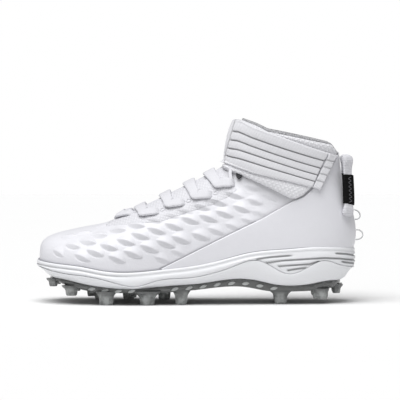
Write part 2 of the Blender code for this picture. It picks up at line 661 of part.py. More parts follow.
def stud_solid(work, stud):
    """One stud: a flared foot that narrows to a waist and runs straight to its flat tip."""
    x, y = stud.x * LENGTH, stud.y * BALL_WIDTH
    tip = stud.tip_z * COLLAR_HEIGHT
    root = float(plate_bottom(x))
    sunk = root + 1.5 * MM
    base, end = stud.base_length * LENGTH / 2, stud.tip_length * LENGTH / 2
    waist = end * 1.12
    levels = [
        (sunk, base),
        (root - (root - tip) * 0.28, (base + waist) / 2 - 0.12 * (base - waist)),
        (root - (root - tip) * STUD_WAIST, waist),
        (tip, end),
    ]
    rings = []
    for z, radius in levels:
        ring = []
        for i in range(STUD_SIDES):
            angle = 2 * math.pi * i / STUD_SIDES
            ring.append(work.verts.new((
                x + radius * math.cos(angle), y + radius * STUD_ASPECT * math.sin(angle), z
            )))
        rings.append(ring)
    for low, high in zip(rings, rings[1:]):
        for i in range(STUD_SIDES):
            j = (i + 1) % STUD_SIDES
            work.faces.new((low[i], high[i], high[j], low[j]))
    work.faces.new(rings[0])
    work.faces.new(rings[-1][::-1])


def make_outsole(parts, cutters):
    """Grey plate with every stud moulded on."""
    loops = [
        sole_loop(-PLATE_INSET, lambda x: sole_bottom(x) - CLEARANCE, 5 * MM),
        sole_loop(-PLATE_INSET, lambda x: 0.6 * sole_bottom(x) + 0.4 * plate_bottom(x) - CLEARANCE, 5 * MM),
        sole_loop(-PLATE_INSET - 2 * MM, plate_bottom, 6 * MM),
    ]
    outsole = loft_loops("outsole", loops, parts)
    work = bmesh.new()
    for stud in STUDS:
        stud_solid(work, stud)
    bmesh.ops.recalc_face_normals(work, faces=work.faces)
    mesh = bpy.data.meshes.new("studs")
    work.to_mesh(mesh)
    work.free()
    studs = bpy.data.objects.new("studs", mesh)
    cutters.objects.link(studs)
    boolean(outsole, guide(studs), "UNION")
    return outsole


def make_quarter_panel(parts, cutters):
    inner = CLEARANCE
    panel = shell("quarter_panel", inner, inner + PANEL_THICKNESS, parts, cutters)
    edge = on_side(PANEL_EDGE)
    bottom = [(x, float(rim(x)) + CLEARANCE) for x in np.linspace(0.53 * LENGTH, edge[0][0], 12)]
    past_heel = [(0.53 * LENGTH, edge[-1][1])]
    boolean(panel, prism("panel_outline", edge + past_heel + bottom, cutters), "INTERSECT")
    boolean(panel, over_collar("panel_rim_cut", cutters), "DIFFERENCE")
    return panel


def make_collar_pad(name, side, parts, cutters):
    """Padded knit ankle zone of one side, from the throat back to the quarter panel."""
    inner = CLEARANCE
    pad = shell(name, inner, inner + PAD_THICKNESS, parts, cutters)
    gap = 2 * CLEARANCE
    edge = [(x - gap * 0.6, z + gap) for x, z in on_side(PANEL_EDGE[7:])]
    outline = on_side(PAD_FRONT_EDGE) + edge + [(0.13, 0.25), (0.0, 0.25)]
    boolean(pad, prism(name + "_outline", outline, cutters), "INTERSECT")
    boolean(pad, over_collar(name + "_rim_cut", cutters), "DIFFERENCE")
    boolean(pad, half_space(name + "_half", side, cutters, THROAT_WIDTH / 2), "INTERSECT")
    return pad


def make_eyestay(name, side, parts, cutters):
    """Strip beside the throat that carries one side's eyelets."""
    inner = CLEARANCE
    strip = shell(name, inner, inner + EYESTAY_THICKNESS, parts, cutters)
    boolean(strip, prism(name + "_outline", on_side(EYESTAY_OUTLINE), cutters), "INTERSECT")
    boolean(strip, half_space(name + "_half", side, cutters, THROAT_WIDTH / 2), "INTERSECT")
    boolean(strip, bpy.data.objects["eyelet_pins"], "DIFFERENCE")
    return strip


def on_strap(share_across, share_along):
    """Point of the strap's outline seen from the side: across from bottom to top, along from the front."""
    edges = []
    for edge in (STRAP_BOTTOM, STRAP_TOP):
        x = np.interp(share_along, STRAP_SHARES, [p.x * LENGTH for p in edge])
        z = np.interp(share_along, STRAP_SHARES, [p.z * COLLAR_HEIGHT for p in edge])
        edges.append((x, z))
    return tuple(a + (b - a) * share_across for a, b in zip(*edges))


def make_strap(parts, cutters):
    """Ribbed band over the instep, from anchor to anchor."""
    inner = PAD_THICKNESS + 2 * CLEARANCE
    outer = inner + STRAP_THICKNESS
    strap = shell("ankle_strap", inner, outer, parts, cutters)
    outline = on_side(STRAP_BOTTOM) + on_side(STRAP_TOP)[::-1]
    boolean(strap, prism("strap_outline", outline, cutters), "INTERSECT")
    grooves = shell("strap_groove_layer", outer - STRAP_GROOVE_DEPTH, outer + 3 * MM, cutters, cutters)
    lines = []
    for k in range(1, STRAP_RIBS):
        middle = [on_strap(k / STRAP_RIBS, s) for s in (0, STRAP_SHARES[1], GROOVE_END)]
        half = STRAP_GROOVE_WIDTH / 2
        outline = [(x, z - half) for x, z in middle] + [(x, z + half) for x, z in middle[::-1]]
        lines.append(prism("strap_groove", outline, cutters))
    boolean(grooves, joined(lines, "strap_grooves"), "INTERSECT")
    boolean(strap, guide(grooves), "DIFFERENCE")
    return strap


def joined(things, name):
    """One object out of several closed ones that don't touch."""
    work = bmesh.new()
    for thing in things:
        work.from_mesh(thing.data)
    mesh = bpy.data.meshes.new(name)
    work.to_mesh(mesh)
    work.free()
    made = bpy.data.objects.new(name, mesh)
    things[0].users_collection[0].objects.link(made)
    for thing in things:
        bpy.data.objects.remove(thing, do_unlink=True)
    return guide(made)


def make_anchor(name, side, parts, cutters):
    """Strip behind the strap where its end is sewn down."""
    inner = PAD_THICKNESS + 2 * CLEARANCE
    strip = shell(name, inner, inner + ANCHOR_THICKNESS, parts, cutters)
    low, high = on_side((STRAP_BOTTOM[-1], STRAP_TOP[-1]))
    rise = 0.35 * ANCHOR_WIDTH
    outline = [
        (low[0] + CLEARANCE, low[1]), (low[0] + ANCHOR_WIDTH, low[1] - rise),
        (high[0] + ANCHOR_WIDTH, high[1] - rise), (high[0] + CLEARANCE, high[1]),
    ]
    boolean(strip, prism(name + "_outline", outline, cutters), "INTERSECT")
    boolean(strip, half_space(name + "_half", side, cutters), "INTERSECT")
    return strip


def make_lace(number, row, parts, cutters):
    """One row: the band over the throat, its folds, and the bars back to both eyelets."""
    inner = EYESTAY_THICKNESS + 2 * CLEARANCE
    lace = shell(f"lace_{number}", inner, inner + LACE_THICKNESS, parts, cutters)
    band = row.band_x * LENGTH
    corner = (row.corner_x * LENGTH, row.corner_z * COLLAR_HEIGHT)
    eyelet = (row.eyelet_x * LENGTH, row.eyelet_z * COLLAR_HEIGHT)
    half = LACE_WIDTH / 2
    outline = [
        (band, corner[1] + 2.6 * half), corner, (eyelet[0] + 0.7 * half, eyelet[1] - half),
        (eyelet[0] + 0.7 * half, eyelet[1] + 0.7 * half), (corner[0] + 1.5 * half, corner[1] + 1.9 * half),
        (band + LACE_WIDTH, corner[1] + 5.0 * half), (band + 0.4 * half, corner[1] + 5.0 * half),
    ]
    boolean(lace, prism(f"lace_{number}_outline", outline, cutters), "INTERSECT")
    return lace


def flat_tube(name, path, sideways, width, thickness, home, hollow=0.0):
    """Flat webbing along a path; a hollow one is a sleeve with a wall."""
    outer = (width / 2, thickness / 2)
    loops = [outer] + ([(outer[0] - hollow, outer[1] - hollow)] if hollow else [])
    corners = [(1, 0.4), (0.82, 1), (-0.82, 1), (-1, 0.4), (-1, -0.4), (-0.82, -1), (0.82, -1), (1, -0.4)]
    count = len(corners)
    points, faces = [], []
    for half_wide, half_thick in loops:
        for i, here in enumerate(path):
            run = (path[min(i + 1, len(path) - 1)] - path[max(i - 1, 0)]).normalized()
            out = sideways.cross(run).normalized()
            points += [here + sideways * (u * half_wide) + out * (v * half_thick) for u, v in corners]
    rings = len(path)
    for layer in range(len(loops)):
        for r in range(rings - 1):
            low = (layer * rings + r) * count
            faces += [(low + i, low + (i + 1) % count, low + count + (i + 1) % count, low + count + i)
                      for i in range(count)]
    first, last = 0, (rings - 1) * count
    if hollow:
        for end in (first, last):
            inner = end + rings * count
            faces += [(end + i, end + (i + 1) % count, inner + (i + 1) % count, inner + i)
                      for i in range(count)]
    else:
        faces += [tuple(first + i for i in range(count)), tuple(last + i for i in range(count))]
    return solid_from(name, points, faces, home)


def make_pull_tab(side_name, side, parts):
    """White webbing from the heel to the collar, and the black sleeve round its middle."""
    scale = (LENGTH, BALL_WIDTH * side, COLLAR_HEIGHT)
    rows = np.array([(p.x * scale[0], p.y * scale[1], p.z * scale[2]) for p in TAB_LINE])
    knots = range(len(rows))
    fine = np.linspace(0, len(rows) - 1, 10)
    path = [Vector(p) for p in np.stack([spline(knots, rows[:, c], fine) for c in range(3)], axis=1)]
    sideways = Vector((-math.sin(TAB_FACING), side * math.cos(TAB_FACING), 0))
    tab = flat_tube("pull_tab_" + side_name, path, sideways, TAB_WIDTH, TAB_THICKNESS, parts)
    length = [0.0]
    for a, b in zip(path, path[1:]):
        length.append(length[-1] + (b - a).length)
    middle = length[-1] * SLEEVE_MIDDLE
    stops = [middle + SLEEVE_LENGTH * (k / 4 - 0.5) for k in range(5)]
    sleeve_path = [Vector([np.interp(s, length, [p[c] for p in path]) for c in range(3)]) for s in stops]
    extra = 2 * (SLEEVE_WALL + CLEARANCE)
    sleeve = flat_tube(
        "pull_sleeve_" + side_name, sleeve_path, sideways, TAB_WIDTH + extra, TAB_THICKNESS + extra, parts,
        hollow=SLEEVE_WALL,
    )
    return tab, sleeve


def make_heel_loop(loop, parts):
    """Thin clear bow standing out from the back seam."""
    low, high = loop.foot_low * COLLAR_HEIGHT, loop.foot_high * COLLAR_HEIGHT
    reach = loop.reach * COLLAR_HEIGHT
    seat = CLEARANCE + PANEL_THICKNESS + CLEARANCE
    curve = bpy.data.curves.new(loop.name, "CURVE")
    curve.dimensions = "3D"
    curve.bevel_depth = HEEL_LOOP_WIRE / 2
    curve.bevel_resolution = 1
    curve.use_fill_caps = True
    bow = curve.splines.new("POLY")
    steps = 8
    bow.points.add(steps)
    for i in range(steps + 1):
        turn = math.pi * i / steps
        z = (low + high) / 2 - (high - low) / 2 * math.cos(turn)
        foot = base_x_at_height(z, *HEEL_RINGS) + seat
        bow.points[i].co = (foot + reach * math.sin(turn) ** 0.8, 0, z, 1)
    made = bpy.data.objects.new(loop.name, curve)
    bpy.context.scene.collection.objects.link(made)
    bpy.context.view_layer.update()
    mesh = bpy.data.meshes.new_from_object(made.evaluated_get(bpy.context.evaluated_depsgraph_get()))
    work = bmesh.new()
    work.from_mesh(mesh)
    bmesh.ops.remove_doubles(work, verts=work.verts, dist=1e-6)
    bmesh.ops.recalc_face_normals(work, faces=work.faces)
    work.to_mesh(mesh)
    work.free()
    bpy.data.objects.remove(made, do_unlink=True)
    mesh.name = loop.name
    solid = bpy.data.objects.new(loop.name, mesh)
    parts.objects.link(solid)
    return solid


def stand_at_origin(parts, cutters):
    """Moves the whole model so that the middle of its bounding box is over the origin."""
    bpy.context.view_layer.update()
    graph = bpy.context.evaluated_depsgraph_get()
    corners = np.array([
        tuple(thing.matrix_world @ Vector(c))
        for thing in parts.objects
        for c in thing.evaluated_get(graph).bound_box
    ])
    middle = (corners.min(axis=0) + corners.max(axis=0)) / 2
    for thing in list(parts.objects) + list(cutters.objects):
        thing.location.x -= middle[0]
        thing.location.y -= middle[1]


def finish(thing, finish_material):
    thing.data.materials.clear()
    thing.data.materials.append(finish_material)
    thing.data.shade_smooth()
    thing.data.set_sharp_from_angle(angle=math.radians(40))


def main():
    clear_scene()
    parts = collection("american_football_cleat")
    cutters = collection("cutters", hidden=True)
    finish(make_upper(parts, cutters), material("upper_knit", WHITE))
    finish(make_tongue(parts, cutters), material("tongue_textile", WHITE))
    finish(make_insole(parts, cutters), material("insole_foam", INSOLE_GREY, 0.9))
    finish(make_midsole(parts, cutters), material("midsole_foam", SOLE_WHITE, 0.5))
    finish(make_carrier(parts), material("carrier_tpu", SOLE_WHITE, 0.4))
    finish(make_outsole(parts, cutters), material("smoky_tpu", PLATE_GREY, 0.25))
    finish(make_quarter_panel(parts, cutters), material("panel_film", WHITE, 0.5))
    for side_name, side in (("lateral", -1), ("medial", 1)):
        pad = make_collar_pad("collar_pad_" + side_name, side, parts, cutters)
        finish(pad, material("pad_knit_" + side_name, PAD_WHITE, 0.8))
        eyestay = make_eyestay("eyestay_" + side_name, side, parts, cutters)
        finish(eyestay, material("eyestay_film_" + side_name, WHITE))
        anchor = make_anchor("strap_anchor_" + side_name, side, parts, cutters)
        finish(anchor, material("anchor_web_" + side_name, WHITE, 0.7))
        tab, sleeve = make_pull_tab(side_name, side, parts)
        finish(tab, material("tab_web_" + side_name, PAD_WHITE, 0.8))
        finish(sleeve, material("sleeve_web_" + side_name, SLEEVE_BLACK, 0.8))
    finish(make_strap(parts, cutters), material("strap_web", STRAP_WHITE, 0.8))
    for number, row in enumerate(LACES, 1):
        finish(make_lace(number, row, parts, cutters), material(f"lace_web_{number}", WHITE, 0.8))
    for loop in HEEL_LOOPS:
        finish(make_heel_loop(loop, parts), material(loop.name + "_clear", SOLE_WHITE, 0.1, 0.5))
    stand_at_origin(parts, cutters)


main()
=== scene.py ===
"""White high-cut american football cleat, left shoe: the looks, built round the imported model.

Every layer is laid on the last, the closed form of the foot. A place on the last is a ring number, from the
toe to the collar, and a share of the way round one side of that ring, from the crest line to the base line.
Lines that were measured from the side are turned into such places first. Lengths are in millimetres of the
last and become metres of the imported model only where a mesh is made.
"""

import math

import bmesh
import bpy
import numpy as np
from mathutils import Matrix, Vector


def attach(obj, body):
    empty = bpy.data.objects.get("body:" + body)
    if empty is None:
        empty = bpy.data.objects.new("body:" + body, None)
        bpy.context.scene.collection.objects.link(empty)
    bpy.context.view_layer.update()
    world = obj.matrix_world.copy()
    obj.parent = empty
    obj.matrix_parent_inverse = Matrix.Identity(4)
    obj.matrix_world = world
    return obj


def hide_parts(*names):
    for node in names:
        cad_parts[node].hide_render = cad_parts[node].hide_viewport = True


bl_info = {
    "name": "American football cleat",
    "version": (1, 0, 0),
    "blender": (4, 5, 0),
    "location": "3D View > Sidebar > Cleat",
    "description": "Builds the upper, sole, strap, laces and studs of a white football cleat",
    "category": "Object",
}

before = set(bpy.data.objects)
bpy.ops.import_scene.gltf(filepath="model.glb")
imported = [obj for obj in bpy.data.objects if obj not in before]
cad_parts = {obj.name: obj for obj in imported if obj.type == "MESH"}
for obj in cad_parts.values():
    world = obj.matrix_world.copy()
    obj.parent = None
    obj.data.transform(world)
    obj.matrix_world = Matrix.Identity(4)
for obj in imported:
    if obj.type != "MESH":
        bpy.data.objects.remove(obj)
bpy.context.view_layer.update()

MM = 0.001
MODEL_SHIFT = np.array([-3.356, 1.846, 0.0])  # from the last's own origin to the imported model's
LATERAL, MEDIAL = 0, 1
SIDES = ((LATERAL, "lateral", -1), (MEDIAL, "medial", 1))

# The last, ring by ring: crest_x, crest_z, base_x, base_z, half widths lateral and medial, crest_y, how far up
# the widest point is, and the powers of the section above and below it. x is a share of LENGTH, z of
# COLLAR_HEIGHT, and the widths and y are shares of BALL_WIDTH.
LENGTH, COLLAR_HEIGHT, BALL_WIDTH = 300.0, 172.0, 104.0
RINGS = np.array([
    (-0.4920, 0.262, -0.4920, 0.262, 0.000, 0.000, 0.058, 0.50, 2.10, 2.10),
    (-0.4900, 0.300, -0.4913, 0.224, 0.096, 0.106, 0.058, 0.50, 2.10, 2.30),
    (-0.4820, 0.334, -0.4850, 0.195, 0.192, 0.188, 0.058, 0.46, 2.20, 2.80),
    (-0.4647, 0.357, -0.4667, 0.177, 0.279, 0.260, 0.053, 0.42, 2.30, 3.50),
    (-0.4350, 0.378, -0.4383, 0.162, 0.361, 0.322, 0.048, 0.38, 2.30, 4.20),
    (-0.3900, 0.397, -0.3950, 0.147, 0.442, 0.375, 0.043, 0.35, 2.30, 5.00),
    (-0.3367, 0.416, -0.3400, 0.135, 0.490, 0.413, 0.034, 0.33, 2.25, 5.00),
    (-0.2733, 0.441, -0.2767, 0.128, 0.514, 0.437, 0.024, 0.32, 2.20, 5.00),
    (-0.2067, 0.497, -0.2117, 0.128, 0.514, 0.433, 0.014, 0.31, 2.10, 5.00),
    (-0.1367, 0.558, -0.1433, 0.131, 0.495, 0.409, 0.010, 0.29, 2.05, 5.00),
    (-0.0633, 0.622, -0.0667, 0.140, 0.466, 0.375, 0.005, 0.28, 2.00, 4.60),
    (0.0067, 0.681, 0.0400, 0.154, 0.433, 0.356, 0.000, 0.28, 2.00, 4.20),
    (0.0550, 0.724, 0.1733, 0.172, 0.404, 0.356, 0.000, 0.30, 2.00, 3.80),
    (0.0820, 0.753, 0.3100, 0.180, 0.380, 0.361, 0.000, 0.34, 2.05, 3.50),
    (0.0960, 0.779, 0.4133, 0.195, 0.370, 0.361, 0.000, 0.38, 2.10, 3.00),
    (0.1020, 0.808, 0.4717, 0.256, 0.365, 0.361, 0.000, 0.41, 2.15, 2.60),
    (0.1053, 0.840, 0.4933, 0.343, 0.365, 0.361, 0.000, 0.44, 2.20, 2.35),
    (0.1083, 0.872, 0.4920, 0.430, 0.361, 0.356, 0.000, 0.46, 2.20, 2.25),
    (0.1127, 0.907, 0.4803, 0.520, 0.353, 0.351, 0.000, 0.47, 2.20, 2.20),
    (0.1187, 0.942, 0.4620, 0.612, 0.351, 0.351, 0.000, 0.48, 2.20, 2.20),
    (0.1270, 0.977, 0.4487, 0.703, 0.356, 0.356, 0.000, 0.49, 2.20, 2.20),
    (0.1370, 1.014, 0.4430, 0.791, 0.365, 0.365, 0.000, 0.50, 2.20, 2.20),
    (0.1500, 1.070, 0.4430, 0.872, 0.380, 0.380, 0.000, 0.50, 2.20, 2.20),
]) * (LENGTH, COLLAR_HEIGHT, LENGTH, COLLAR_HEIGHT, BALL_WIDTH, BALL_WIDTH, BALL_WIDTH, 1, 1, 1)
LAST_RING = len(RINGS) - 1


def bends(knots, values):
    """Second derivatives of the natural cubic spline through the values at the knots."""
    step = np.diff(knots)
    slope = np.diff(values, axis=0) / step[:, None]
    system = np.eye(len(knots))
    right = np.zeros_like(values)
    for i in range(1, len(knots) - 1):
        system[i, i - 1:i + 2] = step[i - 1], 2 * (step[i - 1] + step[i]), step[i]
        right[i] = 6 * (slope[i] - slope[i - 1])
    return np.linalg.solve(system, right)


def spline(knots, values, at, bend=None):
    """Natural cubic spline through the rows of values at the knots, read at the given places."""
    knots = np.asarray(knots, float)
    values = np.asarray(values, float)
    flat = values.ndim == 1
    values = values[:, None] if flat else values
    bend = bends(knots, values) if bend is None else bend
    at = np.clip(np.asarray(at, float), knots[0], knots[-1])
    i = np.clip(np.searchsorted(knots, at) - 1, 0, len(knots) - 2)
    ahead = (knots[i + 1] - at)[..., None]
    behind = (at - knots[i])[..., None]
    width = (knots[i + 1] - knots[i])[..., None]
    read = (
        (bend[i] * ahead ** 3 + bend[i + 1] * behind ** 3) / (6 * width)
        + (values[i] / width - bend[i] * width / 6) * ahead
        + (values[i + 1] / width - bend[i + 1] * width / 6) * behind
    )
    return read[..., 0] if flat else read


RING_NUMBERS = np.arange(len(RINGS), dtype=float)
RING_BENDS = bends(RING_NUMBERS, RINGS)


def ring_rows(number):
    """Rows of the last's table at ring numbers, its own and those between."""
    return spline(RING_NUMBERS, RINGS, number, RING_BENDS)


def last_tables(ring_step=0.02, shares=241):
    """Points, outward directions and sideways distances of the last, on a fine net of rings and shares."""
    numbers = np.arange(0, LAST_RING + ring_step / 2, ring_step)
    rows = ring_rows(numbers)
    even = np.linspace(0, 1, shares)
    turn = np.linspace(0, math.pi / 2, 240)
    place = np.zeros((2, len(numbers), shares, 3))
    for r, ring in enumerate(rows):
        crest_x, crest_z, base_x, base_z, *widths, crest_y, widest, top_power, base_power = ring
        above = 1 - widest
        down = np.concatenate([
            above * (1 - np.cos(turn) ** (2 / top_power)),
            above + widest * np.sin(turn[1:]) ** (2 / base_power),
        ])
        out = np.concatenate([
            np.sin(turn) ** (2 / top_power), np.clip(np.cos(turn[1:]), 0, 1) ** (2 / base_power)
        ])
        height = math.hypot(crest_x - base_x, crest_z - base_z)
        for side, width in enumerate(widths):
            width = max(width, 0.01)
            along = np.concatenate([[0], np.cumsum(np.hypot(np.diff(down) * height, np.diff(out) * width))])
            here = np.interp(even * along[-1], along, down)
            across = np.interp(even * along[-1], along, out)
            place[side, r, :, 0] = crest_x + (base_x - crest_x) * here
            place[side, r, :, 1] = crest_y + SIDES[side][2] * width * across
            place[side, r, :, 2] = crest_z + (base_z - crest_z) * here
    facing = np.cross(np.gradient(place, axis=2), np.gradient(place, axis=1))
    facing[MEDIAL] *= -1
    facing[:, 0] = facing[:, 1]
    for end in (0, -1):
        both = facing[LATERAL, :, end] + facing[MEDIAL, :, end]
        both[:, 1] = 0
        facing[:, :, end] = both
    facing /= np.maximum(np.linalg.norm(facing, axis=3, keepdims=True), 1e-9)
    return place, facing


PLACES, FACINGS = last_tables()
RING_STEPS, SHARE_STEPS = PLACES.shape[1] - 1, PLACES.shape[2] - 1


def read_table(table, number, share):
    """Table value between its rows and columns, at ring numbers and shares round the side."""
    r = np.clip(np.asarray(number, float) / LAST_RING, 0, 1) * RING_STEPS
    s = np.clip(np.asarray(share, float), 0, 1) * SHARE_STEPS
    r0 = np.minimum(r.astype(int), RING_STEPS - 1)
    s0 = np.minimum(s.astype(int), SHARE_STEPS - 1)
    fr, fs = (r - r0)[..., None], (s - s0)[..., None]
    low = table[r0, s0] * (1 - fs) + table[r0, s0 + 1] * fs
    high = table[r0 + 1, s0] * (1 - fs) + table[r0 + 1, s0 + 1] * fs
    return low * (1 - fr) + high * fr


def on_last(side, number, share):
    """Point of the last and its outward direction."""
    facing = read_table(FACINGS[side], number, share)
    return read_table(PLACES[side], number, share), facing / np.linalg.norm(facing, axis=-1, keepdims=True)


def ring_span(number):
    """Table rows at ring numbers, and how far in x and z each ring runs from its crest to its base."""
    row = ring_rows(number)
    return row, row[..., 2] - row[..., 0], row[..., 3] - row[..., 1]


def ring_through(x, z):
    """Number of the ring that passes through places seen from the side, how far down it they are, its row."""
    x, z = np.broadcast_arrays(np.asarray(x, float), np.asarray(z, float))
    low, high = np.full(x.shape, 0.02), np.full(x.shape, float(LAST_RING))
    for _ in range(36):
        middle = (low + high) / 2
        row, span_x, span_z = ring_span(middle)
        beyond = span_x * (z - row[..., 1]) - span_z * (x - row[..., 0]) > 0
        low, high = np.where(beyond, middle, low), np.where(beyond, high, middle)
    row, span_x, span_z = ring_span(low)
    down = ((x - row[..., 0]) * span_x + (z - row[..., 1]) * span_z) / (span_x ** 2 + span_z ** 2)
    return low, np.clip(down, 0, 1), row


def locate(side, x, z):
    """Ring number and share of places seen from the side."""
    number, down, _ = ring_through(x, z)
    row, span_x, span_z = ring_span(number)
    shares = np.linspace(0, 1, SHARE_STEPS + 1)
    share = np.zeros_like(number)
    for i in np.ndindex(number.shape):
        ring = read_table(PLACES[side], np.full(len(shares), number[i]), shares)
        gone = (ring[:, 0] - row[i][0]) * span_x[i] + (ring[:, 2] - row[i][1]) * span_z[i]
        share[i] = np.interp(down[i], gone / (span_x[i] ** 2 + span_z[i] ** 2), shares)
    return number, share


def seen_at(side, x, z):
    """Points of the last and their outward directions, at places seen from the side."""
    return on_last(side, *locate(side, np.asarray(x, float), np.asarray(z, float)))


def half_width(side, x, z):
    """Sideways place of the last's surface, seen from the side at x and z."""
    _, down, row = ring_through(x, z)
    above = 1 - row[..., 7]
    upper_part = down <= above
    reach = np.where(upper_part, (above - down) / above, (down - above) / row[..., 7])
    power = np.where(upper_part, row[..., 8], row[..., 9])
    share = np.maximum(0, 1 - np.clip(reach, 0, 1) ** power) ** (1 / power)
    return row[..., 6] + (-row[..., 4] if side == LATERAL else row[..., 5]) * share


# Lines drawn from the side in mm, from toe to heel.
RIM_LINE = np.array([  # where the upper meets the sole
    (-150, 39.9), (-131.1, 37.8), (-105.9, 35.4), (-89.1, 32.3), (-72.9, 30.6), (-53.1, 31.0), (-32.4, 33.0),
    (3, 37.2), (30, 43.5), (48.9, 48.2), (81.9, 51.4), (108.9, 53.3), (150, 51.3),
])
WAVE_LINE = np.array([  # top edge of the lower white layer
    (-150, 35.4), (-126.9, 29.8), (-105.9, 27.5), (-90, 24.9), (-71.4, 20.0), (-57, 17.7), (-36.9, 22.9),
    (-4.5, 25.8), (14.7, 29.6), (33.9, 35.8), (49.5, 41.3), (61.5, 40.1), (73.5, 33.5), (87, 28.7),
    (102.9, 34.6), (120, 40.9), (132, 37.2), (150, 33.7),
])
SOLE_LINE = np.array([  # underside of the white sole
    (-150, 36.1), (-146.4, 31.8), (-139.8, 26.5), (-126.9, 23.7), (-109.5, 20.6), (-89.1, 17.2),
    (-72.9, 15.7), (-53.1, 15.5), (-24.9, 18.2), (3, 20.0), (23.1, 23.0), (39.9, 24.3), (56.1, 22.7),
    (72.9, 18.9), (90, 17.7), (108.9, 19.6), (126.9, 22.0), (138.9, 23.4), (147, 31.6), (150, 36.1),
])
PLATE_LINE = np.array([  # underside of the grey plate between the studs
    (-144, 25.8), (-129.9, 20.1), (-111.9, 15.1), (-95.1, 12.2), (-60, 11.5), (-24.9, 12.0), (3, 14.3),
    (23.1, 16.5), (45.9, 16.3), (66, 12.6), (87.9, 11.9), (105.9, 12.4), (125.1, 14.4), (141.9, 19.3),
])
COLLAR_LINE = np.array([  # rim of the collar
    (18, 171.3), (42.9, 171.5), (56.7, 166.2), (66.6, 161.2), (90, 156.5), (124.2, 149.0), (134.7, 135.5),
    (168, 130.7),
])
PANEL_EDGE = np.array([  # top edge of the smooth quarter panel
    (-33.3, 34.1), (-14.1, 43.5), (5.1, 53.1), (24.3, 62.6), (43.5, 71.9), (59.7, 79.5), (75.6, 88.6),
    (90, 97.0), (99.3, 100.4), (106.5, 106.6), (112.8, 114.9), (130.2, 135.2), (132, 141.5),
])
PAD_EDGE = np.array([  # lower edge of the collar pad
    (24, 126.5), (31, 122.8), (43.2, 119.4), (66, 109.4), (86.5, 99.2), (92, 98.6), (98.4, 101.6),
    (105.3, 108), (111.6, 116.4), (128.6, 136.6),
])


def line_height(line, x):
    """Height of a side line at x, held level past its ends."""
    return spline(line[:, 0], line[:, 1], x)


def line_crossing(side, line, share, low=11.0, high=22.0):
    """Ring number where rings cross a side line, at a share round the side; the line rises past it."""
    share = np.asarray(share, float)
    low, high = np.full(share.shape, low), np.full(share.shape, high)
    for _ in range(30):
        middle = (low + high) / 2
        here = read_table(PLACES[side], middle, share)
        under = here[..., 2] < np.interp(here[..., 0], line[:, 0], line[:, 1])
        low, high = np.where(under, middle, low), np.where(under, high, middle)
    return low


def trace(side, line, count):
    """Evenly spaced places along a side line, as ring numbers and shares."""
    gone = np.concatenate([[0], np.cumsum(np.hypot(*np.diff(line, axis=0).T))])
    even = np.linspace(0, gone[-1], count)
    return np.stack(locate(side, np.interp(even, gone, line[:, 0]), np.interp(even, gone, line[:, 1])))


def mesh_piece(
    name, points, faces, replaced=(), slot=None, finishes=(), sharp=None, merge=1e-4, second=None, painted_shade_and_tone=None
):
    """New object from points in mm of the last, riding on the shoe and standing for CAD nodes.

    Faces from number second on take the second of its finishes. Painted_shade_and_tone gives each point a value
    from
    0 to 1 that darkens its finish: painted shade in grooves, folds and under other parts, and the plate body's
                                    darker tone.
    """
    mesh = bpy.data.meshes.new(name)
    world = (np.asarray(points, float).reshape(-1, 3) + MODEL_SHIFT) * MM
    mesh.from_pydata(world.tolist(), [], [tuple(int(i) for i in face) for face in faces])
    for name_of_finish in finishes:
        mesh.materials.append(finish(name_of_finish))
    if second is not None:
        mesh.polygons.foreach_set("material_index", [int(i >= second) for i in range(len(faces))])
    # The painted shade and tone values go on the mesh as a point attribute that darkens its finish.
    if painted_shade_and_tone is not None:
        values = np.clip(np.asarray(painted_shade_and_tone, float).reshape(-1), 0, 1)
        mesh.attributes.new("painted_shade_and_tone", "FLOAT", "POINT").data.foreach_set("value", values)
    work = bmesh.new()
    work.from_mesh(mesh)
    bmesh.ops.remove_doubles(work, verts=work.verts, dist=merge * MM)
    bmesh.ops.dissolve_degenerate(work, edges=work.edges, dist=1e-8)
    bmesh.ops.recalc_face_normals(work, faces=work.faces)
    work.to_mesh(mesh)
    work.free()
    mesh.shade_smooth()
    if sharp:
        mesh.set_sharp_from_angle(angle=math.radians(sharp))
    made = bpy.data.objects.new(name, mesh)
    bpy.context.scene.collection.objects.link(made)
    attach(made, "root")
    if replaced:
        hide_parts(*replaced)
    return made


def grid_faces(rows, columns, start=0, wrap=False):
    """Quads of a net of points, row after row; a wrapped one closes round its columns."""
    r, c = np.meshgrid(np.arange(rows - 1), np.arange(columns if wrap else columns - 1), indexing="ij")
    d = (c + 1) % columns
    low, high = r * columns, (r + 1) * columns
    return (np.stack([low + c, low + d, high + d, high + c], axis=-1).reshape(-1, 4) + start).tolist()


def tube_faces(rings, around):
    """Faces of a closed skin through rings of points, the first and the last ring filled."""
    last = (rings - 1) * around
    return grid_faces(rings, around, wrap=True) + [range(around)[::-1], range(last, last + around)]


def joined(parts):
    """One net from several, each with its points and faces."""
    points, faces, start = [], [], 0
    for net, quads in parts:
        points.append(net)
        faces += [tuple(i + start for i in face) for face in quads]
        start += len(net)
    return np.concatenate(points), faces


def circle(around):
    """Angles of the points of a ring, as a column."""
    return np.linspace(0, 2 * math.pi, around, endpoint=False)[:, None]


def slab(outer, inner):
    """Closed skin round two nets of points of the same size: its points and faces."""
    rows, columns = outer.shape[:2]
    count = rows * columns
    faces = grid_faces(rows, columns) + [face[::-1] for face in grid_faces(rows, columns, count)]
    edge = [(0, c) for c in range(columns)] + [(r, columns - 1) for r in range(1, rows)]
    edge += [(rows - 1, c) for c in range(columns - 2, -1, -1)] + [(r, 0) for r in range(rows - 2, 0, -1)]
    edge = [r * columns + c for r, c in edge]
    faces += [(a, b, b + count, a + count) for a, b in zip(edge, edge[1:] + edge[:1])]
    return np.concatenate([outer.reshape(-1, 3), inner.reshape(-1, 3)]), faces


def eased(count, ends=0.6):
    """Shares from 0 to 1, closer together at both ends."""
    even = np.linspace(0, 1, count)
    return (1 - ends) * even + ends * (0.5 - 0.5 * np.cos(math.pi * even))


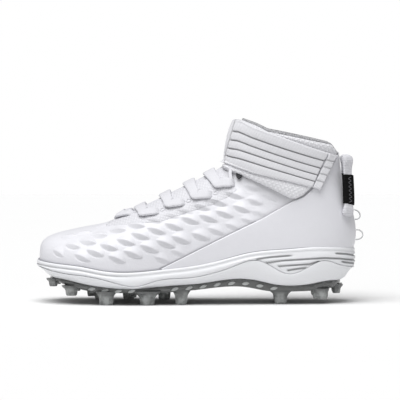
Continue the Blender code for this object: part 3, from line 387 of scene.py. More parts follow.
def from_edges(points, edges="lrtb"):
    """Distance in mm of each point of a net from its nearest free edge: left, right, top, bottom."""
    across = np.linalg.norm(np.diff(points, axis=1), axis=2)
    along = np.linalg.norm(np.diff(points, axis=0), axis=2)
    left = np.concatenate([np.zeros((len(points), 1)), np.cumsum(across, axis=1)], axis=1)
    low = np.concatenate([np.zeros((1, points.shape[1])), np.cumsum(along, axis=0)])
    far = {"l": left, "r": left[:, -1:] - left, "b": low, "t": low[-1:] - low}
    return np.min([far[e] for e in edges], axis=0) if edges else np.full(left.shape, 1e3)


def rounded(distance, width):
    """Share of the full thickness at a distance from a rounded edge."""
    near = np.clip(distance / width, 0, 1)
    return np.sqrt(np.maximum(0, 1 - (1 - near) ** 2))


def away_from(line, points):
    """Distance in mm of points from a side line, seen from the side."""
    away = np.full(points.shape[:-1], 1e3)
    for low, high in zip(line[:-1], line[1:]):
        run = high - low
        along = ((points[..., 0] - low[0]) * run[0] + (points[..., 2] - low[1]) * run[1]) / (run @ run)
        share = np.clip(along, 0, 1)
        here = np.hypot(points[..., 0] - low[0] - share * run[0], points[..., 2] - low[1] - share * run[1])
        away = np.minimum(away, here)
    return away


def around_last(lateral, medial):
    """One net from two half nets whose first column is on the crest line."""
    return np.concatenate([lateral[:, :0:-1], medial], axis=1)


THROAT_START, THROAT_ROUNDING, THROAT_HALF_WIDTH = 6.95, 0.6, 16.0  # the first two in rings, the last in mm


def throat_half_width(number):
    """Half the width of the throat opening at a ring, 0 ahead of it."""
    return THROAT_HALF_WIDTH * rounded(np.asarray(number, float) - THROAT_START, THROAT_ROUNDING)


def share_at_width(side, number, width):
    """Share round a ring where its surface is a given distance sideways from the crest line."""
    number, width = np.broadcast_arrays(np.asarray(number, float), np.asarray(width, float))
    shares = np.linspace(0, 0.5, 90)
    found = np.zeros(number.shape)
    for i in np.ndindex(number.shape):
        places = read_table(PLACES[side], np.full(90, number[i]), shares)
        found[i] = np.interp(width[i], np.abs(places[:, 1] - places[0, 1]), shares)
    return found


def footbed(x):
    """Height of the footbed, a little above the last's base line."""
    rows = ring_rows(np.linspace(0.3, 14.0, 60))
    return np.interp(x, rows[:, 2], rows[:, 3]) + 3.0


def base_share(side, number):
    """Share round each ring where the upper ends, under the footbed and the rim of the sole.

    It is 1 where the ring runs right round, at the tip of the toe and up the back of the heel.
    """
    shares = np.linspace(0, 1, 200)
    found = np.ones(len(number))
    for i, n in enumerate(number):
        ring = read_table(PLACES[side], np.full(200, n), shares)
        floor = np.minimum(footbed(ring[:, 0]) + 0.3, line_height(RIM_LINE, ring[:, 0]) - 3)
        under = np.nonzero(ring[:, 2] < floor)[0]
        found[i] = shares[max(under[0] - 1, 1)] if len(under) else 1.0
    return found


# Raised pods of the vamp, from the side in mm: centre x, centre z and size as a share of the full one.
PODS = np.array([
    (-130, 45, 0.6), (-116, 52, 0.8), (-102, 56, 0.95), (-73.8, 67.3, 0.9), (-57, 71.6, 0.95),
    (-40, 75.7, 0.55), (-24, 79.7, 0.4), (-11.3, 83.7, 0.6), (3.9, 87.9, 0.75), (19, 92.5, 0.95),
    (34, 99, 0.9), (50.7, 105.5, 0.7), (-107, 41.5, 0.85), (-94.8, 46.1, 0.95), (-82.2, 51.7, 1),
    (-66.3, 56.4, 1), (-53.1, 62, 1), (-38, 66.7, 1), (-22, 70.5, 1), (-7, 76.1, 1), (9.9, 78, 1),
    (24.9, 81.8, 0.95), (40.5, 86.5, 0.9), (52.9, 93, 0.8), (66.5, 97, 0.55), (-74.7, 40.5, 0.9),
    (-59.7, 45.1, 1), (-44.7, 50.3, 1), (-29.6, 54.5, 1), (-15.5, 58.3, 1), (3, 61.1, 0.95),
    (17.4, 65.8, 0.8), (32.4, 70, 0.6), (46.5, 75.2, 0.55), (57.2, 82.1, 0.5), (-33, 40, 0.7),
    (-18, 46, 0.6), (-120, 61.0, 0.7), (-106, 64.6, 0.75), (-91, 62.5, 0.9), (-88, 71.0, 0.6),
])
POD_TILT = math.radians(-21)
POD_LENGTH, POD_UNDER, POD_OVER, POD_SINK = 9.4, 6.0, 7.0, 1.0
POD_ARCH, POD_HEAD = 1.3, 3.2  # the ridge over a pod's centre: its arch, and how far up its ends lie
POD_LIP = 0.86  # share of the way down the facet where it turns up into its lip
# Painted shade: the facet under each pod's ridge is painted darker than the cloth round it.
POD_PAINTED_SHADE = 0.42  # how much darker the facet is than the cloth round it


def pods(side, points, facing):
    """Height of the quilted relief and its painted shade: leaf-shaped pods with a sharp ridge.

    Above the ridge a pod swells gently; below it a flat facet drops under the surface to a small lip.
    """
    full = sizes().pod_rise / MM
    rise = np.zeros(points.shape[:-1])
    painted_pod_shade = np.zeros(points.shape[:-1])
    centres, outs = seen_at(side, PODS[:, 0], PODS[:, 1])
    for centre, out, size in zip(centres, outs, PODS[:, 2]):
        along = np.array([math.cos(POD_TILT), 0, math.sin(POD_TILT)])
        along -= out * (along @ out)
        along /= np.linalg.norm(along)
        up = np.cross(out, along)
        up *= np.sign(up[2])
        away = points - centre
        near = (np.abs(away) < 14).all(axis=-1) & (facing @ out > 0.2)
        away = away[near]
        u = away @ along / (POD_LENGTH * (0.55 + 0.45 * size))
        v = away @ up - POD_ARCH * (1 - u ** 2) - POD_HEAD
        lens = np.maximum(0, 1 - u ** 2)
        reach = np.where(v < 0, POD_UNDER, POD_OVER) * (0.6 + 0.4 * size) * lens ** 0.8 + 1e-6
        gone = np.clip(np.abs(v) / reach, 0, 1)
        facet = np.where(
            gone < POD_LIP, full - (full + POD_SINK) * gone / POD_LIP, -POD_SINK * (1 - gone) / (1 - POD_LIP)
        )
        shape = np.where(v < 0, facet, full * (1 - gone) ** 1.3)
        shape *= size * lens ** 0.6 * (1 + 0.25 * u)
        stronger = np.abs(shape) > np.abs(rise[near])
        rise[near] = np.where(stronger, shape, rise[near])
        # Painted shade on the facet below the ridge, weaker on the pods nearest the toe.
        under = np.clip(gone * 6, 0, 1) * (1 - 0.5 * gone) * lens ** 0.4 * size * ((v < 0) & (gone < 1))
        under *= np.clip((away @ along + 120 + centre[0]) / 40, 0.4, 1)
        painted_pod_shade[near] = np.maximum(painted_pod_shade[near], under)
    return rise, POD_PAINTED_SHADE * painted_pod_shade


def fan(fine, coarse, step):
    """Triangles between an edge of points and the coarser edge that has every step-th of them."""
    faces = []
    for j in range(len(coarse) - 1):
        part = fine[j * step:(j + 1) * step + 1]
        middle = step // 2
        faces += [(part[k], part[k + 1], coarse[j]) for k in range(middle)]
        faces.append((part[middle], coarse[j + 1], coarse[j]))
        faces += [(part[k], part[k + 1], coarse[j + 1]) for k in range(middle, step)]
    return faces


UPPER_COLUMNS, LINING_STEP = 129, 4
UPPER_WALL = 2.5
COLLAR_RINGS = 18, 22  # from the first on, the rings bend to meet the collar's rim


def upper_net(side):
    """Ring numbers and shares of the upper's net on one side, from toe to collar and crest to sole."""
    parts = (0, 2, 49), (2, 12.8, 230), (12.8, 22, 60)
    number = np.unique(np.concatenate([np.linspace(*part) for part in parts]))
    start = share_at_width(side, number, throat_half_width(number))
    end = base_share(side, number)
    share = start[:, None] + (end - start)[:, None] * np.linspace(0, 1, UPPER_COLUMNS)
    return up_to_collar(side, number, share), share


def up_to_collar(side, number, share):
    """Ring numbers of a net whose last rings are bent so that its last row lies on the collar's rim."""
    low, high = COLLAR_RINGS
    top = line_crossing(side, COLLAR_LINE, share[-1], low, high)
    up = np.clip((number - low) / (high - low), 0, 1)[:, None]
    return np.where(up > 0, low + up * (top - low), number[:, None])


def upper_mesh():
    """Points, outer faces, lining faces and painted shade of the upper, its lining coarser than its outside."""
    points, faces, linings, painted_shades = [], [], [], []
    total = 0
    for side, _, _ in SIDES:
        numbers, share = upper_net(side)
        base, out = on_last(side, numbers, share)
        relief, painted_pod_shade = pods(side, base, out)
        # A groove pressed along the panel's top edge, also painted darker there as painted shade; a painted
        # shadow under the collar pad.
        beside = np.exp(-(away_from(PANEL_EDGE, base) / 1.0) ** 2)
        pad_painted_shadow = 0.65 * np.exp(-(away_from(PAD_EDGE, base) / 8.0) ** 2)
        relief = relief * (1 - beside) - 0.7 * beside
        edge = from_edges(base, "t")
        throat = np.where(numbers > THROAT_START, np.linalg.norm(base - base[:, :1], axis=2), 9)
        free = np.minimum(edge, throat)
        roll = 1.1 * (1 - rounded(free, 1.4))
        outer = base + out * (relief * np.clip(free / 6 - 0.3, 0, 1) - roll)[..., None]
        inner = (base - out * UPPER_WALL)[::LINING_STEP, ::LINING_STEP]
        outer[0], inner[0] = base[0, 0], base[0, 0] + (UPPER_WALL, 0, 0)
        fine = np.arange(share.size).reshape(share.shape) + total
        coarse = np.arange(inner[..., 0].size).reshape(inner.shape[:2]) + total + share.size
        faces += grid_faces(*fine.shape, fine[0, 0])
        linings += grid_faces(*coarse.shape, coarse[0, 0])
        faces += fan(fine[-1], coarse[-1], LINING_STEP)
        first = int(np.nonzero(share[:, 0] > 1e-4)[0][0]) // LINING_STEP
        faces += fan(fine[first * LINING_STEP:, 0], coarse[first:, 0], LINING_STEP)
        over_sole = np.nonzero(share[:, -1] < 0.9999)[0]
        low, high = int(over_sole[0] - 1) // LINING_STEP, -(-int(over_sole[-1] + 1) // LINING_STEP)
        faces += fan(fine[low * LINING_STEP:high * LINING_STEP + 1, -1], coarse[low:high + 1, -1], LINING_STEP)
        points += [outer.reshape(-1, 3), inner.reshape(-1, 3)]
        # The panel edge's painted shade is stronger toward the toe.
        beside *= 0.3 + 0.3 * np.clip((70 - base[..., 0]) / 60, 0, 1)
        painted_shades += [np.maximum.reduce([painted_pod_shade, beside, pad_painted_shadow]).reshape(-1), np.zeros(coarse.size)]
        total += fine.size + coarse.size
    return np.concatenate(points), faces, linings, np.concatenate(painted_shades)


def make_upper():
    """Hollow quilted sock with its lining, open at the collar, along the throat and underneath."""
    points, faces, linings, painted_shades = upper_mesh()
    mesh_piece(
        "quilted_upper", points, faces + linings, ["upper"], "upper_white",
        ["upper coated knit", "lining brushed knit"], merge=2e-3, second=len(faces), painted_shade_and_tone=painted_shades,
    )


def curve_between(low, high, rows):
    """Net of places between two edges, each an array of ring numbers and shares."""
    up = eased(rows)[:, None]
    return low[0] * (1 - up) + high[0] * up, low[1] * (1 - up) + high[1] * up


# Quarter panel

def panel_net(side, rows=64, columns=150):
    """From the rim of the sole up to the panel's top edge, along the side and round to the back seam."""
    top = trace(side, PANEL_EDGE, columns - 8)
    over = np.linspace(top[1, -1], 1, 9)[1:]
    top = np.concatenate([top, [line_crossing(side, COLLAR_LINE, over, 18, 22), over]], axis=1)
    shares = np.linspace(0.3, 1, 300)
    fine = np.linspace(top[0, 0], 17.0, 160)
    base = np.ones(len(fine))
    for i, number in enumerate(fine):
        ring = read_table(PLACES[side], np.full(300, number), shares)
        under = np.nonzero(ring[:, 2] < line_height(RIM_LINE, ring[:, 0]) + 0.3)[0]
        base[i] = shares[under[0]] if len(under) else 1.0
    last = int(np.nonzero(base >= 1)[0][0])
    fine, base = fine[:last + 1], base[:last + 1]
    at, known = np.linspace(0, 1, columns), np.linspace(0, 1, len(fine))
    low = np.stack([np.interp(at, known, fine), np.interp(at, known, base)])
    return curve_between(low, top, rows)


def make_panel():
    """Smooth film over the quarter and heel, both sides in one piece."""
    halves = [on_last(side, *panel_net(side)) for side, _, _ in SIDES]
    base, out = (np.concatenate([lateral, medial[:, -2::-1]], axis=1) for lateral, medial in zip(*halves))
    lift = 0.35 + 1.15 * rounded(from_edges(base, "lrt"), 1.3)
    points, faces = slab(base + out * lift[..., None], base + out * 0.3)
    mesh_piece("quarter_panel_film", points, faces, ["quarter_panel"], "panel_film", ["quarter film"],
               merge=1e-3)


def make_rim_joint():
    """Thin dark bead between the upper and the sole, all the way round: a painted shadow line along the joint.
    """
    loop = sole_loop(0.95, lambda x: rim(x) + 0.75)
    out = np.column_stack([PLAN_OUT, np.zeros(len(loop))])
    loop, out = (np.concatenate([part, part[:1]]) for part in (loop, out))
    bead, faces = ribbon(loop, out, 0.9, 1.5, 10, 2.2)
    mesh_piece("rim_joint", bead, faces, (), "midsole_white", ["painted joint shadow"], merge=1e-5)


# Collar pads and ankle strap; the lines are the strap's lower and upper edge and the pad's upper one.

STRAP_LOW = np.array([(18, 130.4), (38.7, 126.4), (106.5, 108.9)])
STRAP_HIGH = np.array([(18, 167.4), (35, 168.0), (40, 170.1), (46, 170.0), (56, 165.0), (120.0, 141.2)])
PAD_TOP = np.array([(43.6, 171.2), (56.7, 166.0), (66.6, 161.0), (90, 156.3), (124.2, 148.8), (129.6, 142.2)])


def make_pad(side, side_name):
    """Puffy knit pad round the ankle, fuller below the strap."""
    base, out = on_last(side, *curve_between(trace(side, PAD_EDGE, 120), trace(side, PAD_TOP, 120), 64))
    free = from_edges(base)
    below = np.interp(base[..., 0], *STRAP_LOW.T) - base[..., 2]
    over = base[..., 2] - np.interp(base[..., 0], *STRAP_HIGH.T)
    puff = sizes().pad_puff / MM * np.clip((below + 1) / 5, 0, 1) * rounded(free, 7)
    puff += 0.8 * np.clip(over / 3, 0, 1) * rounded(free, 4)
    lift = 0.4 + 2.5 * rounded(free, 2.6) + puff
    points, faces = slab(base + out * lift[..., None], base + out * 0.3)
    pad = mesh_piece(
        "collar_pad_knit_" + side_name, points, faces, ["collar_pad_" + side_name], "pad_knit",
        ["pad spacer knit"]
    )


STRAP_LIFT, STRAP_HEIGHT = 5.75, 40.0
RIB_START, RIB_STEP = (0.257, 0.183), (0.169, 0.201)  # lowest groove and step up the band, front and back
SEAM_FOOT, SEAM_HEAD = np.array((24.5, 132.0)), np.array((34.5, 167.5))
GROOVE_DEPTH, SEAM_DEPTH = 1.25, 1.1


def strap_net(side, rows, columns):
    """Ring numbers and shares of the strap on one side, and how far up the band each place is."""
    edges = []
    for line in (STRAP_LOW, STRAP_HIGH):
        _, end = locate(side, line[-1:, 0], line[-1:, 1])
        share = end[0] * np.linspace(0, 1, columns) ** 0.9
        edges.append(np.stack([line_crossing(side, line, share), share]))
    up = eased(rows, 0.25)[:, None]
    numbers = edges[0][0] * (1 - up) + edges[1][0] * up
    return numbers, edges[0][1] * (1 - up) + edges[1][1] * up, np.broadcast_to(up, numbers.shape)


def make_strap():
    """Ribbed band over the instep, from anchor to anchor, with a plain front strip between two seams."""
    ribs = sizes().strap_ribs
    run = SEAM_HEAD - SEAM_FOOT
    halves = []
    for side, _, _ in SIDES:
        numbers, shares, up = strap_net(side, 131, 140)
        base, out = on_last(side, numbers, shares)
        face = base + out * STRAP_LIFT
        behind = (face[..., 0] - SEAM_FOOT[0]) - (face[..., 2] - SEAM_FOOT[1]) * run[0] / run[1]
        back = np.clip(shares / shares[:, -1:], 0, 1)
        step = (RIB_STEP[0] + (RIB_STEP[1] - RIB_STEP[0]) * back) * 5 / ribs
        phase = (up - RIB_START[0] - (RIB_START[1] - RIB_START[0]) * back) / step + 1
        groove = np.abs(phase - np.round(phase)) * STRAP_HEIGHT * step
        inside = (np.round(phase) > 0) & (np.round(phase) < ribs)
        valley = np.exp(-(groove / 0.62) ** 2) * inside * np.clip((behind - 0.2) / 1.2, 0, 1)
        crown = 0.35 * (1 - np.clip(1 - groove / 3.4, 0, 1) ** 2)
        seam = np.exp(-(behind / 0.6) ** 2)
        front = 0.5 * np.clip(-behind / 1.5, 0, 1)
        lift = STRAP_LIFT + crown * (behind > 0) - np.maximum(GROOVE_DEPTH * valley, SEAM_DEPTH * seam) - front
        lift -= 2.6 * np.exp(-(up * 5.5) ** 2) * np.exp(-(shares / 0.07) ** 2)
        # Painted shade in the rib grooves and along the front strip's seams.
        halves.append((base, out, lift, np.maximum(valley, 0.8 * seam)))
    base, out, lift, painted_shade_and_tone = (around_last(*both) for both in zip(*halves))
    edge = rounded(from_edges(base), 1.4)
    outer = base + out * (3.9 + (lift - 3.9) * edge)[..., None]
    inner = base + out * (3.7 - 0.4 * edge)[..., None]
    points, faces = slab(outer, inner)
    mesh_piece("ankle_strap_web", points, faces, ["ankle_strap"], "strap_web", ["strap ribbed web"],
               painted_shade_and_tone=np.stack([painted_shade_and_tone, 0 * painted_shade_and_tone]))


def make_anchor(side, side_name):
    """Short band behind the strap, sewn down in five segments."""
    (low_x, low_z), (high_x, high_z) = STRAP_LOW[-1], STRAP_HIGH[-1]
    along, across = eased(61, 0.3)[:, None], eased(17)[None, :]
    x = low_x + (high_x - low_x) * along + 0.3 + 7 * across
    z = low_z + (high_z - low_z) * along - 2.5 * across
    base, out = seen_at(side, x, z)
    phase = along * 5
    dip = np.exp(-((phase - np.round(phase)) * 7 / 0.7) ** 2) * ((phase > 0.4) & (phase < 4.6))
    lift = 3.3 + (2.4 - dip) * rounded(from_edges(base), 1.1)
    points, faces = slab(base + out * lift[..., None], base + out * 3.1)
    # Painted shade in the sewn dips.
    painted_shade_and_tone = np.broadcast_to(0.5 * dip, lift.shape)
    mesh_piece("strap_end_" + side_name, points, faces, ["strap_anchor_" + side_name], "anchor_web",
               ["anchor web"], painted_shade_and_tone=np.stack([painted_shade_and_tone, 0 * painted_shade_and_tone]))


# Throat: eyestays, tongue, laces

EYESTAY_EDGE = np.array([
    (-84, 72.6), (-57, 75.6), (-33, 77.6), (-9, 85.6), (15.9, 93.2), (30, 100.5), (38, 106.5),
])
TONGUE_SINK = -4.3  # how far the edge of the tongue lies under the last's surface


def make_eyestay(side, side_name):
    """Thin strip beside the throat that follows the pods and carries the eyelets."""
    low = trace(side, EYESTAY_EDGE, 130)
    number = np.linspace(7.02, 12.55, 130)
    high = np.stack([number, share_at_width(side, number, throat_half_width(number) + 0.4)])
    base, out = on_last(side, *curve_between(low, high, 34))
    relief, painted_pod_shade = pods(side, base, out)
    lift = 0.12 + 0.9 * np.clip(from_edges(base, "lrb") / 6, 0, 1) * rounded(from_edges(base, "t"), 1.0)
    points, faces = slab(base + out * (lift + relief)[..., None], base + out * (relief - 0.5)[..., None])
    # The pods' painted shade darkens the film as it does the upper.
    mesh_piece("eyestay_film_" + side_name, points, faces, ["eyestay_" + side_name], "eyestay_film",
               ["eyestay embossed film"], painted_shade_and_tone=np.stack([painted_pod_shade, painted_pod_shade]))


def make_tongue():
    """Thin padded tongue, from under the toe of the throat to the collar."""
    halves = []
    for side, _, _ in SIDES:
        number = np.concatenate([np.linspace(6.7, 18, 150)[:-1], np.linspace(18, 22, 60)])
        share = share_at_width(side, number, 25.0)[:, None] * np.linspace(0, 1, 28)
        halves.append(on_last(side, up_to_collar(side, number, share), share))
    base, out = (around_last(*both) for both in zip(*halves))
    outer = base + out * (TONGUE_SINK + 3.1 * rounded(from_edges(base), 5))[..., None]
    inner = base + out * (TONGUE_SINK - 1.5 * rounded(from_edges(base), 3))[..., None]
    mesh_piece("tongue_pad", *slab(outer, inner), ["tongue"], "tongue_textile", ["tongue spacer mesh"])


# Rows of the lace, in mm from the side: x of the band on the crest, x and z of the fold, x and z of the end.
LACE_ROWS = (
    (-71.5, -69.5, 80.5, -58.5, 83.6),
    (-53.0, -48.2, 83.3, -33.5, 86.2),
    (-29.5, -24.4, 92.0, -9.6, 94.6),
    (-7.0, -0.2, 100.3, 15.6, 101.8),
    (12.0, 20.4, 110.8, 36.0, 112.6),
)
LACE_LIFT = 0.9


def ribbon(points, normals, widths, thicknesses, sides=20, flatness=3.2):
    """Flat soft tube along a path: a rounded-flat section, a little dished, with its width in the surface."""
    run = np.gradient(points, axis=0)
    run /= np.linalg.norm(run, axis=1, keepdims=True)
    across = np.cross(normals, run)
    across /= np.linalg.norm(across, axis=1, keepdims=True)
    out = np.cross(run, across)
    c, s = np.cos(circle(sides)[:, 0]), np.sin(circle(sides)[:, 0])
    wide = np.sign(c) * np.abs(c) ** (2 / flatness)
    thick = np.sign(s) * np.abs(s) ** (2 / flatness) * (1 - 0.16 * np.exp(-(wide / 0.34) ** 2) * (s > 0))
    widths, thicknesses = (np.broadcast_to(size, len(points))[:, None] / 2 for size in (widths, thicknesses))
    rings = points[:, None] + across[:, None] * (wide * widths)[..., None]
    rings += out[:, None] * (thick * thicknesses)[..., None]
    return rings.reshape(-1, 3), tube_faces(len(points), sides)


def smoothed(path, rounds):
    """The path after some rounds of averaging each inner point with its neighbours."""
    for _ in range(rounds):
        path[1:-1] = 0.25 * path[:-2] + 0.5 * path[1:-1] + 0.25 * path[2:]
    return path


FOLD_AT = 25  # number of the lace's place at its fold, counted from the crest
HOLE_DIVE = np.array([0.2, 0.8, 1.9, 3.2, 4.6])  # how deep the last places of the lace sink into the eyelet


def lace_path(row):
    """Points, outward directions and places past the fold of one row, from its lateral to its medial end."""
    band_x, fold_x, fold_z, end_x, end_z = row
    numbers = np.linspace(5, 14, 300)
    crest = float(np.interp(band_x, ring_rows(numbers)[:, 0], numbers))
    down = np.linspace(0, 1, FOLD_AT + 1)[:, None]
    bar = np.linspace(0, 1, 16)[1:, None]
    arms = []
    for side, _, _ in SIDES:
        fold, end = np.stack(locate(side, np.array([fold_x, end_x]), np.array([fold_z, end_z])), axis=1)
        band = np.concatenate([crest + (fold[0] - crest) * down ** 1.8, fold[1] * down], axis=1)
        arm = np.concatenate([band, fold + (end - fold) * bar])
        base, out = on_last(side, *arm.T)
        place = np.arange(len(arm)) - FOLD_AT
        lift = LACE_LIFT + 2.0 * np.clip((place + 20) / 14, 0, 1) + 0.8 * np.exp(-(place / 2.6) ** 2)
        lift[-len(HOLE_DIVE):] -= HOLE_DIVE
        arms.append((base + out * lift[:, None], out, place))
    points, out, place = (np.concatenate([lateral[:0:-1], medial]) for lateral, medial in zip(*arms))
    return smoothed(points, 3), smoothed(out, 5), place


def make_lace(number, row):
    """One bar of the lace over the tongue, folded at both sides and narrower where it dives in."""
    points, out, place = lace_path(row)
    past = np.maximum(place - 10, 0)
    wide = 1 + 0.24 * np.exp(-(place / 1.8) ** 2) + 0.3 * np.clip(-place / 20 - 0.2, 0, 1)
    wide = sizes().lace_width / MM * wide * (1 - 0.09 * past)
    thick = sizes().lace_thickness / MM * (1 - 0.06 * past)
    band, faces = ribbon(points, out, wide, thick)
    mesh_piece(f"lace_row_{number}", band, faces, [f"lace_{number}"], "lace_web", ["lace braid"])


def ring_net(centre, out, radius=1.9, wire=0.55, sides=10, around=28):
    """Points and faces of a small ring lying on the surface."""
    first = np.cross(out, (0.0, 0.0, 1.0))
    first /= np.linalg.norm(first)
    turn, tube = circle(around)[..., None], circle(sides)[None]
    spoke = first * np.cos(turn) + np.cross(out, first) * np.sin(turn)
    ring = centre + spoke * (radius + wire * np.cos(tube)) + out * (wire * 0.7 * np.sin(tube))
    return np.concatenate([ring, ring[:1]]).reshape(-1, 3), grid_faces(around + 1, sides, wrap=True)


def bowl_net(centre, out, long, high, deep, around=24):
    """Points and faces of a small sunk bowl lying on the surface, long along the shoe."""
    up = np.array((0.0, 0.0, 1.0)) - out * out[2]
    up /= np.linalg.norm(up)
    spoke = np.cross(up, out) * long * np.cos(circle(around)) + up * high * np.sin(circle(around))
    levels = ((1.0, deep + 0.5), (1.0, 0.0), (0.85, 0.3 * deep), (0.6, 0.65 * deep), (0.1, deep))
    rings = [centre + share * spoke - out * sunk for share, sunk in levels]
    return np.concatenate(rings), tube_faces(5, around)


EYELET_SHIFT = (2.2, 1.6)  # from the end of a lace row to its ring, in x and z


def make_eyelets():
    """Ring and hole beside the lower four rows of the lace, on both sides, the hole dark with painted shadow.
    """
    rings, bowls = [], []
    for side, _, _ in SIDES:
        x, z = (np.array(LACE_ROWS)[:-1, 3:] + EYELET_SHIFT).T
        for base, out in zip(*seen_at(side, x, z)):
            rings.append(ring_net(base + out * 1.2, out))
            bowls.append(bowl_net(base + out * 1.2, out, 1.6, 1.6, 0.8))
    mesh_piece("eyelet_rings", *joined(rings), (), "eyestay_film", ["eyestay embossed film"], merge=1e-3)
    mesh_piece("eyelet_holes", *joined(bowls), (), "eyestay_film", ["punched hole"], merge=1e-3)


SLOT_PLACE = (40.6, 120.2)
KEEPER_LINE = np.array([(33.5, 112.0), (32.6, 116.0), (32.4, 120.5), (34.0, 126.0), (36.0, 131.0)])


def make_slots():
    """Slot in the pad under the strap on each side, dark with painted shadow, and the thin cord that runs from
    the top row up to it.
    """
    for side, side_name, _ in SIDES:
        base, out = seen_at(side, *SLOT_PLACE)
        bowl, faces = bowl_net(base + out * 3.2, out, 2.8, 4.6, 1.4)
        mesh_piece("strap_slot_" + side_name, bowl, faces, (), "pad_knit", ["punched hole"], merge=1e-3)
        base, out = seen_at(side, *spline(np.arange(5.0), KEEPER_LINE, np.linspace(0, 4, 30)).T)
        lift = 3.4 - 2.4 * np.exp(-(np.arange(30) / 3.0) ** 2)
        cord, faces = ribbon(smoothed(base + out * lift[:, None], 3), out, 3.4, 2.0, 14, 2.4)
        mesh_piece("lace_keeper_" + side_name, cord, faces, (), "lace_web", ["lace braid"])


def make_binding():
    """Soft edge of the lining that shows along the collar rim."""
    arms = []
    for side, _, _ in SIDES:
        start = share_at_width(side, np.array([20.5]), 16.5)[0]
        share = np.linspace(start, 1, 110)
        number = line_crossing(side, COLLAR_LINE, share, 18, 22)
        arms.append(on_last(side, number, share))
    points, out = (np.concatenate([lateral, medial[-2::-1]]) for lateral, medial in zip(*arms))
    points = smoothed(points - out * 0.9 + np.array([0, 0, 0.2]), 3)
    edge, faces = ribbon(points, smoothed(out, 3), 2.9, 4.4, 14, 2.2)
    mesh_piece("collar_binding", edge, faces, (), "pad_knit", ["collar brushed edge"])


# Sole

SOLE_FLARE, PLATE_INSET = 2.8, 6.5
SOLE_HALF = 180


def heel_outline(z):
    """How far back the heel reaches at a height."""
    rows = ring_rows(np.linspace(13.5, 19, 200))
    return np.interp(z, rows[:, 3], rows[:, 2])


def sole_plan():
    """Plan of the last along the rim line, lateral side toe to heel and back on the medial side."""
    rows = ring_rows(np.linspace(0.02, 4, 200))
    toe = np.interp(-RIM_LINE[0, 1], -rows[:, 3], rows[:, 2])
    heel = heel_outline(RIM_LINE[-1, 1])
    turn = np.linspace(0, math.pi, SOLE_HALF + 1)
    x = (toe + heel) / 2 - (heel - toe) / 2 * np.cos(turn)
    z = line_height(RIM_LINE, x)
    lateral = np.column_stack([x, half_width(LATERAL, x, z)])
    medial = np.column_stack([x, half_width(MEDIAL, x, z)])
    lateral[0, 1] = medial[0, 1] = 6.0
    lateral[-1, 1] = medial[-1, 1] = 0.0
    plan = np.concatenate([lateral, medial[-2:0:-1]])
    for _ in range(6):
        plan = 0.25 * np.roll(plan, 1, axis=0) + 0.5 * plan + 0.25 * np.roll(plan, -1, axis=0)
    return plan


PLAN = sole_plan()
PLAN_RUN = np.roll(PLAN, -1, axis=0) - np.roll(PLAN, 1, axis=0)
PLAN_OUT = np.column_stack([PLAN_RUN[:, 1], -PLAN_RUN[:, 0]])
PLAN_OUT /= np.linalg.norm(PLAN_RUN, axis=1, keepdims=True)


def sole_loop(outset, heights, end_inset=0.0):
    """Loop round the sole: the plan moved out, or in and drawn toward its middle, at a height for each x."""
    near = max(outset, -2.0)
    deep = near - outset
    plan = PLAN + PLAN_OUT * near
    middle_x = (plan[:, 0].min() + plan[:, 0].max()) / 2
    middle_y = (plan[:, 1] + np.roll(plan[::-1, 1], 1)) / 2
    x = middle_x + (plan[:, 0] - middle_x) * (1 - (deep + end_inset) / (LENGTH / 2))
    y = middle_y + (plan[:, 1] - middle_y) * (1 - deep / (BALL_WIDTH / 2))
    return np.column_stack([x, y, heights(x)])


def loft(loops):
    """Closed skin through loops round the sole, its first and last loop filled across."""
    count = len(PLAN)
    faces = grid_faces(len(loops), count, 0, wrap=True)
    half = count // 2
    for start in (0, (len(loops) - 1) * count):
        faces += [(start, start + 1, start + count - 1), (start + half - 1, start + half, start + half + 1)]
        end = start + count
        faces += [(start + i, start + i + 1, end - i - 1, end - i) for i in range(1, half - 1)]
    return np.concatenate(loops), faces


def rim(x):
    return line_height(RIM_LINE, x)


def wave(x):
    return line_height(WAVE_LINE, x)


def sole_bottom(x):
    return line_height(SOLE_LINE, x)


def plate_bottom(x):
    return line_height(PLATE_LINE, x)


def between(low, high, share):
    """Height function a share of the way from one to another."""
    return lambda x: low(x) * (1 - share) + high(x) * share


def raised(height, up):
    """Height function a distance above another."""
    return lambda x: height(x) + up


# Moulded grooves on the heel side of the sole, from the side in mm.
HEEL_GROOVES = (
    np.array([(55.7, 42.8), (70, 44.6), (86.9, 45.9)]),
    np.array([(65, 39.4), (80, 41.3), (95.4, 42.2), (118.8, 43.6), (134, 42.6), (148.4, 40.4)]),
    np.array([(76.7, 36.1), (92, 37.2), (104.8, 38.0), (113.4, 40.2)]),
    np.array([(130.6, 47.4), (140, 46.6), (149.3, 44.6)]),
    np.array([(84.5, 32.2), (92, 33.4), (100.5, 34.6)]),
    np.array([(136.4, 39.6), (147.5, 37.4)]),
)
# The sole's rounded lip and the groove under it: how far out, and how far above the rim line. The last number
# of a groove's row is how much painted shade darkens it.
LIP = (
    (-1.6, -0.4), (0.3, 0), (0.9, 0.3), (1.7, 0.35), (2.4, 0.0), (2.75, -0.6), (2.9, -1.3), (2.85, -2.0),
    (2.4, -2.5),
)
LIP_GROOVE = ((1.85, -2.95, 0.3), (2.4, -3.5, 0.6), (2.9, -4.1, 0.3))
SIDE_OUT, SIDE_TOP, SIDE_LOOPS = 2.85, -4.1, 44


def carve(points, start, depth, width):
    """Presses the heel's grooves into loops of the sole from point start on; returns how deep, 0 to 1."""
    press = np.zeros(len(points))
    for line in HEEL_GROOVES:
        press[start:] = np.maximum(press[start:], 1 - (away_from(line, points[start:]) / width) ** 2)
    points[:, :2] -= PLAN_OUT[np.arange(len(points)) % len(PLAN)] * (depth * press ** 1.3)[:, None]
    return press


def toward_heel(x):
    """Full depth of the groove under the lip at the toe, a fifth of it from the ball of the foot back."""
    return 1 - 0.8 / (1 + np.exp(-(x + 62) / 5))


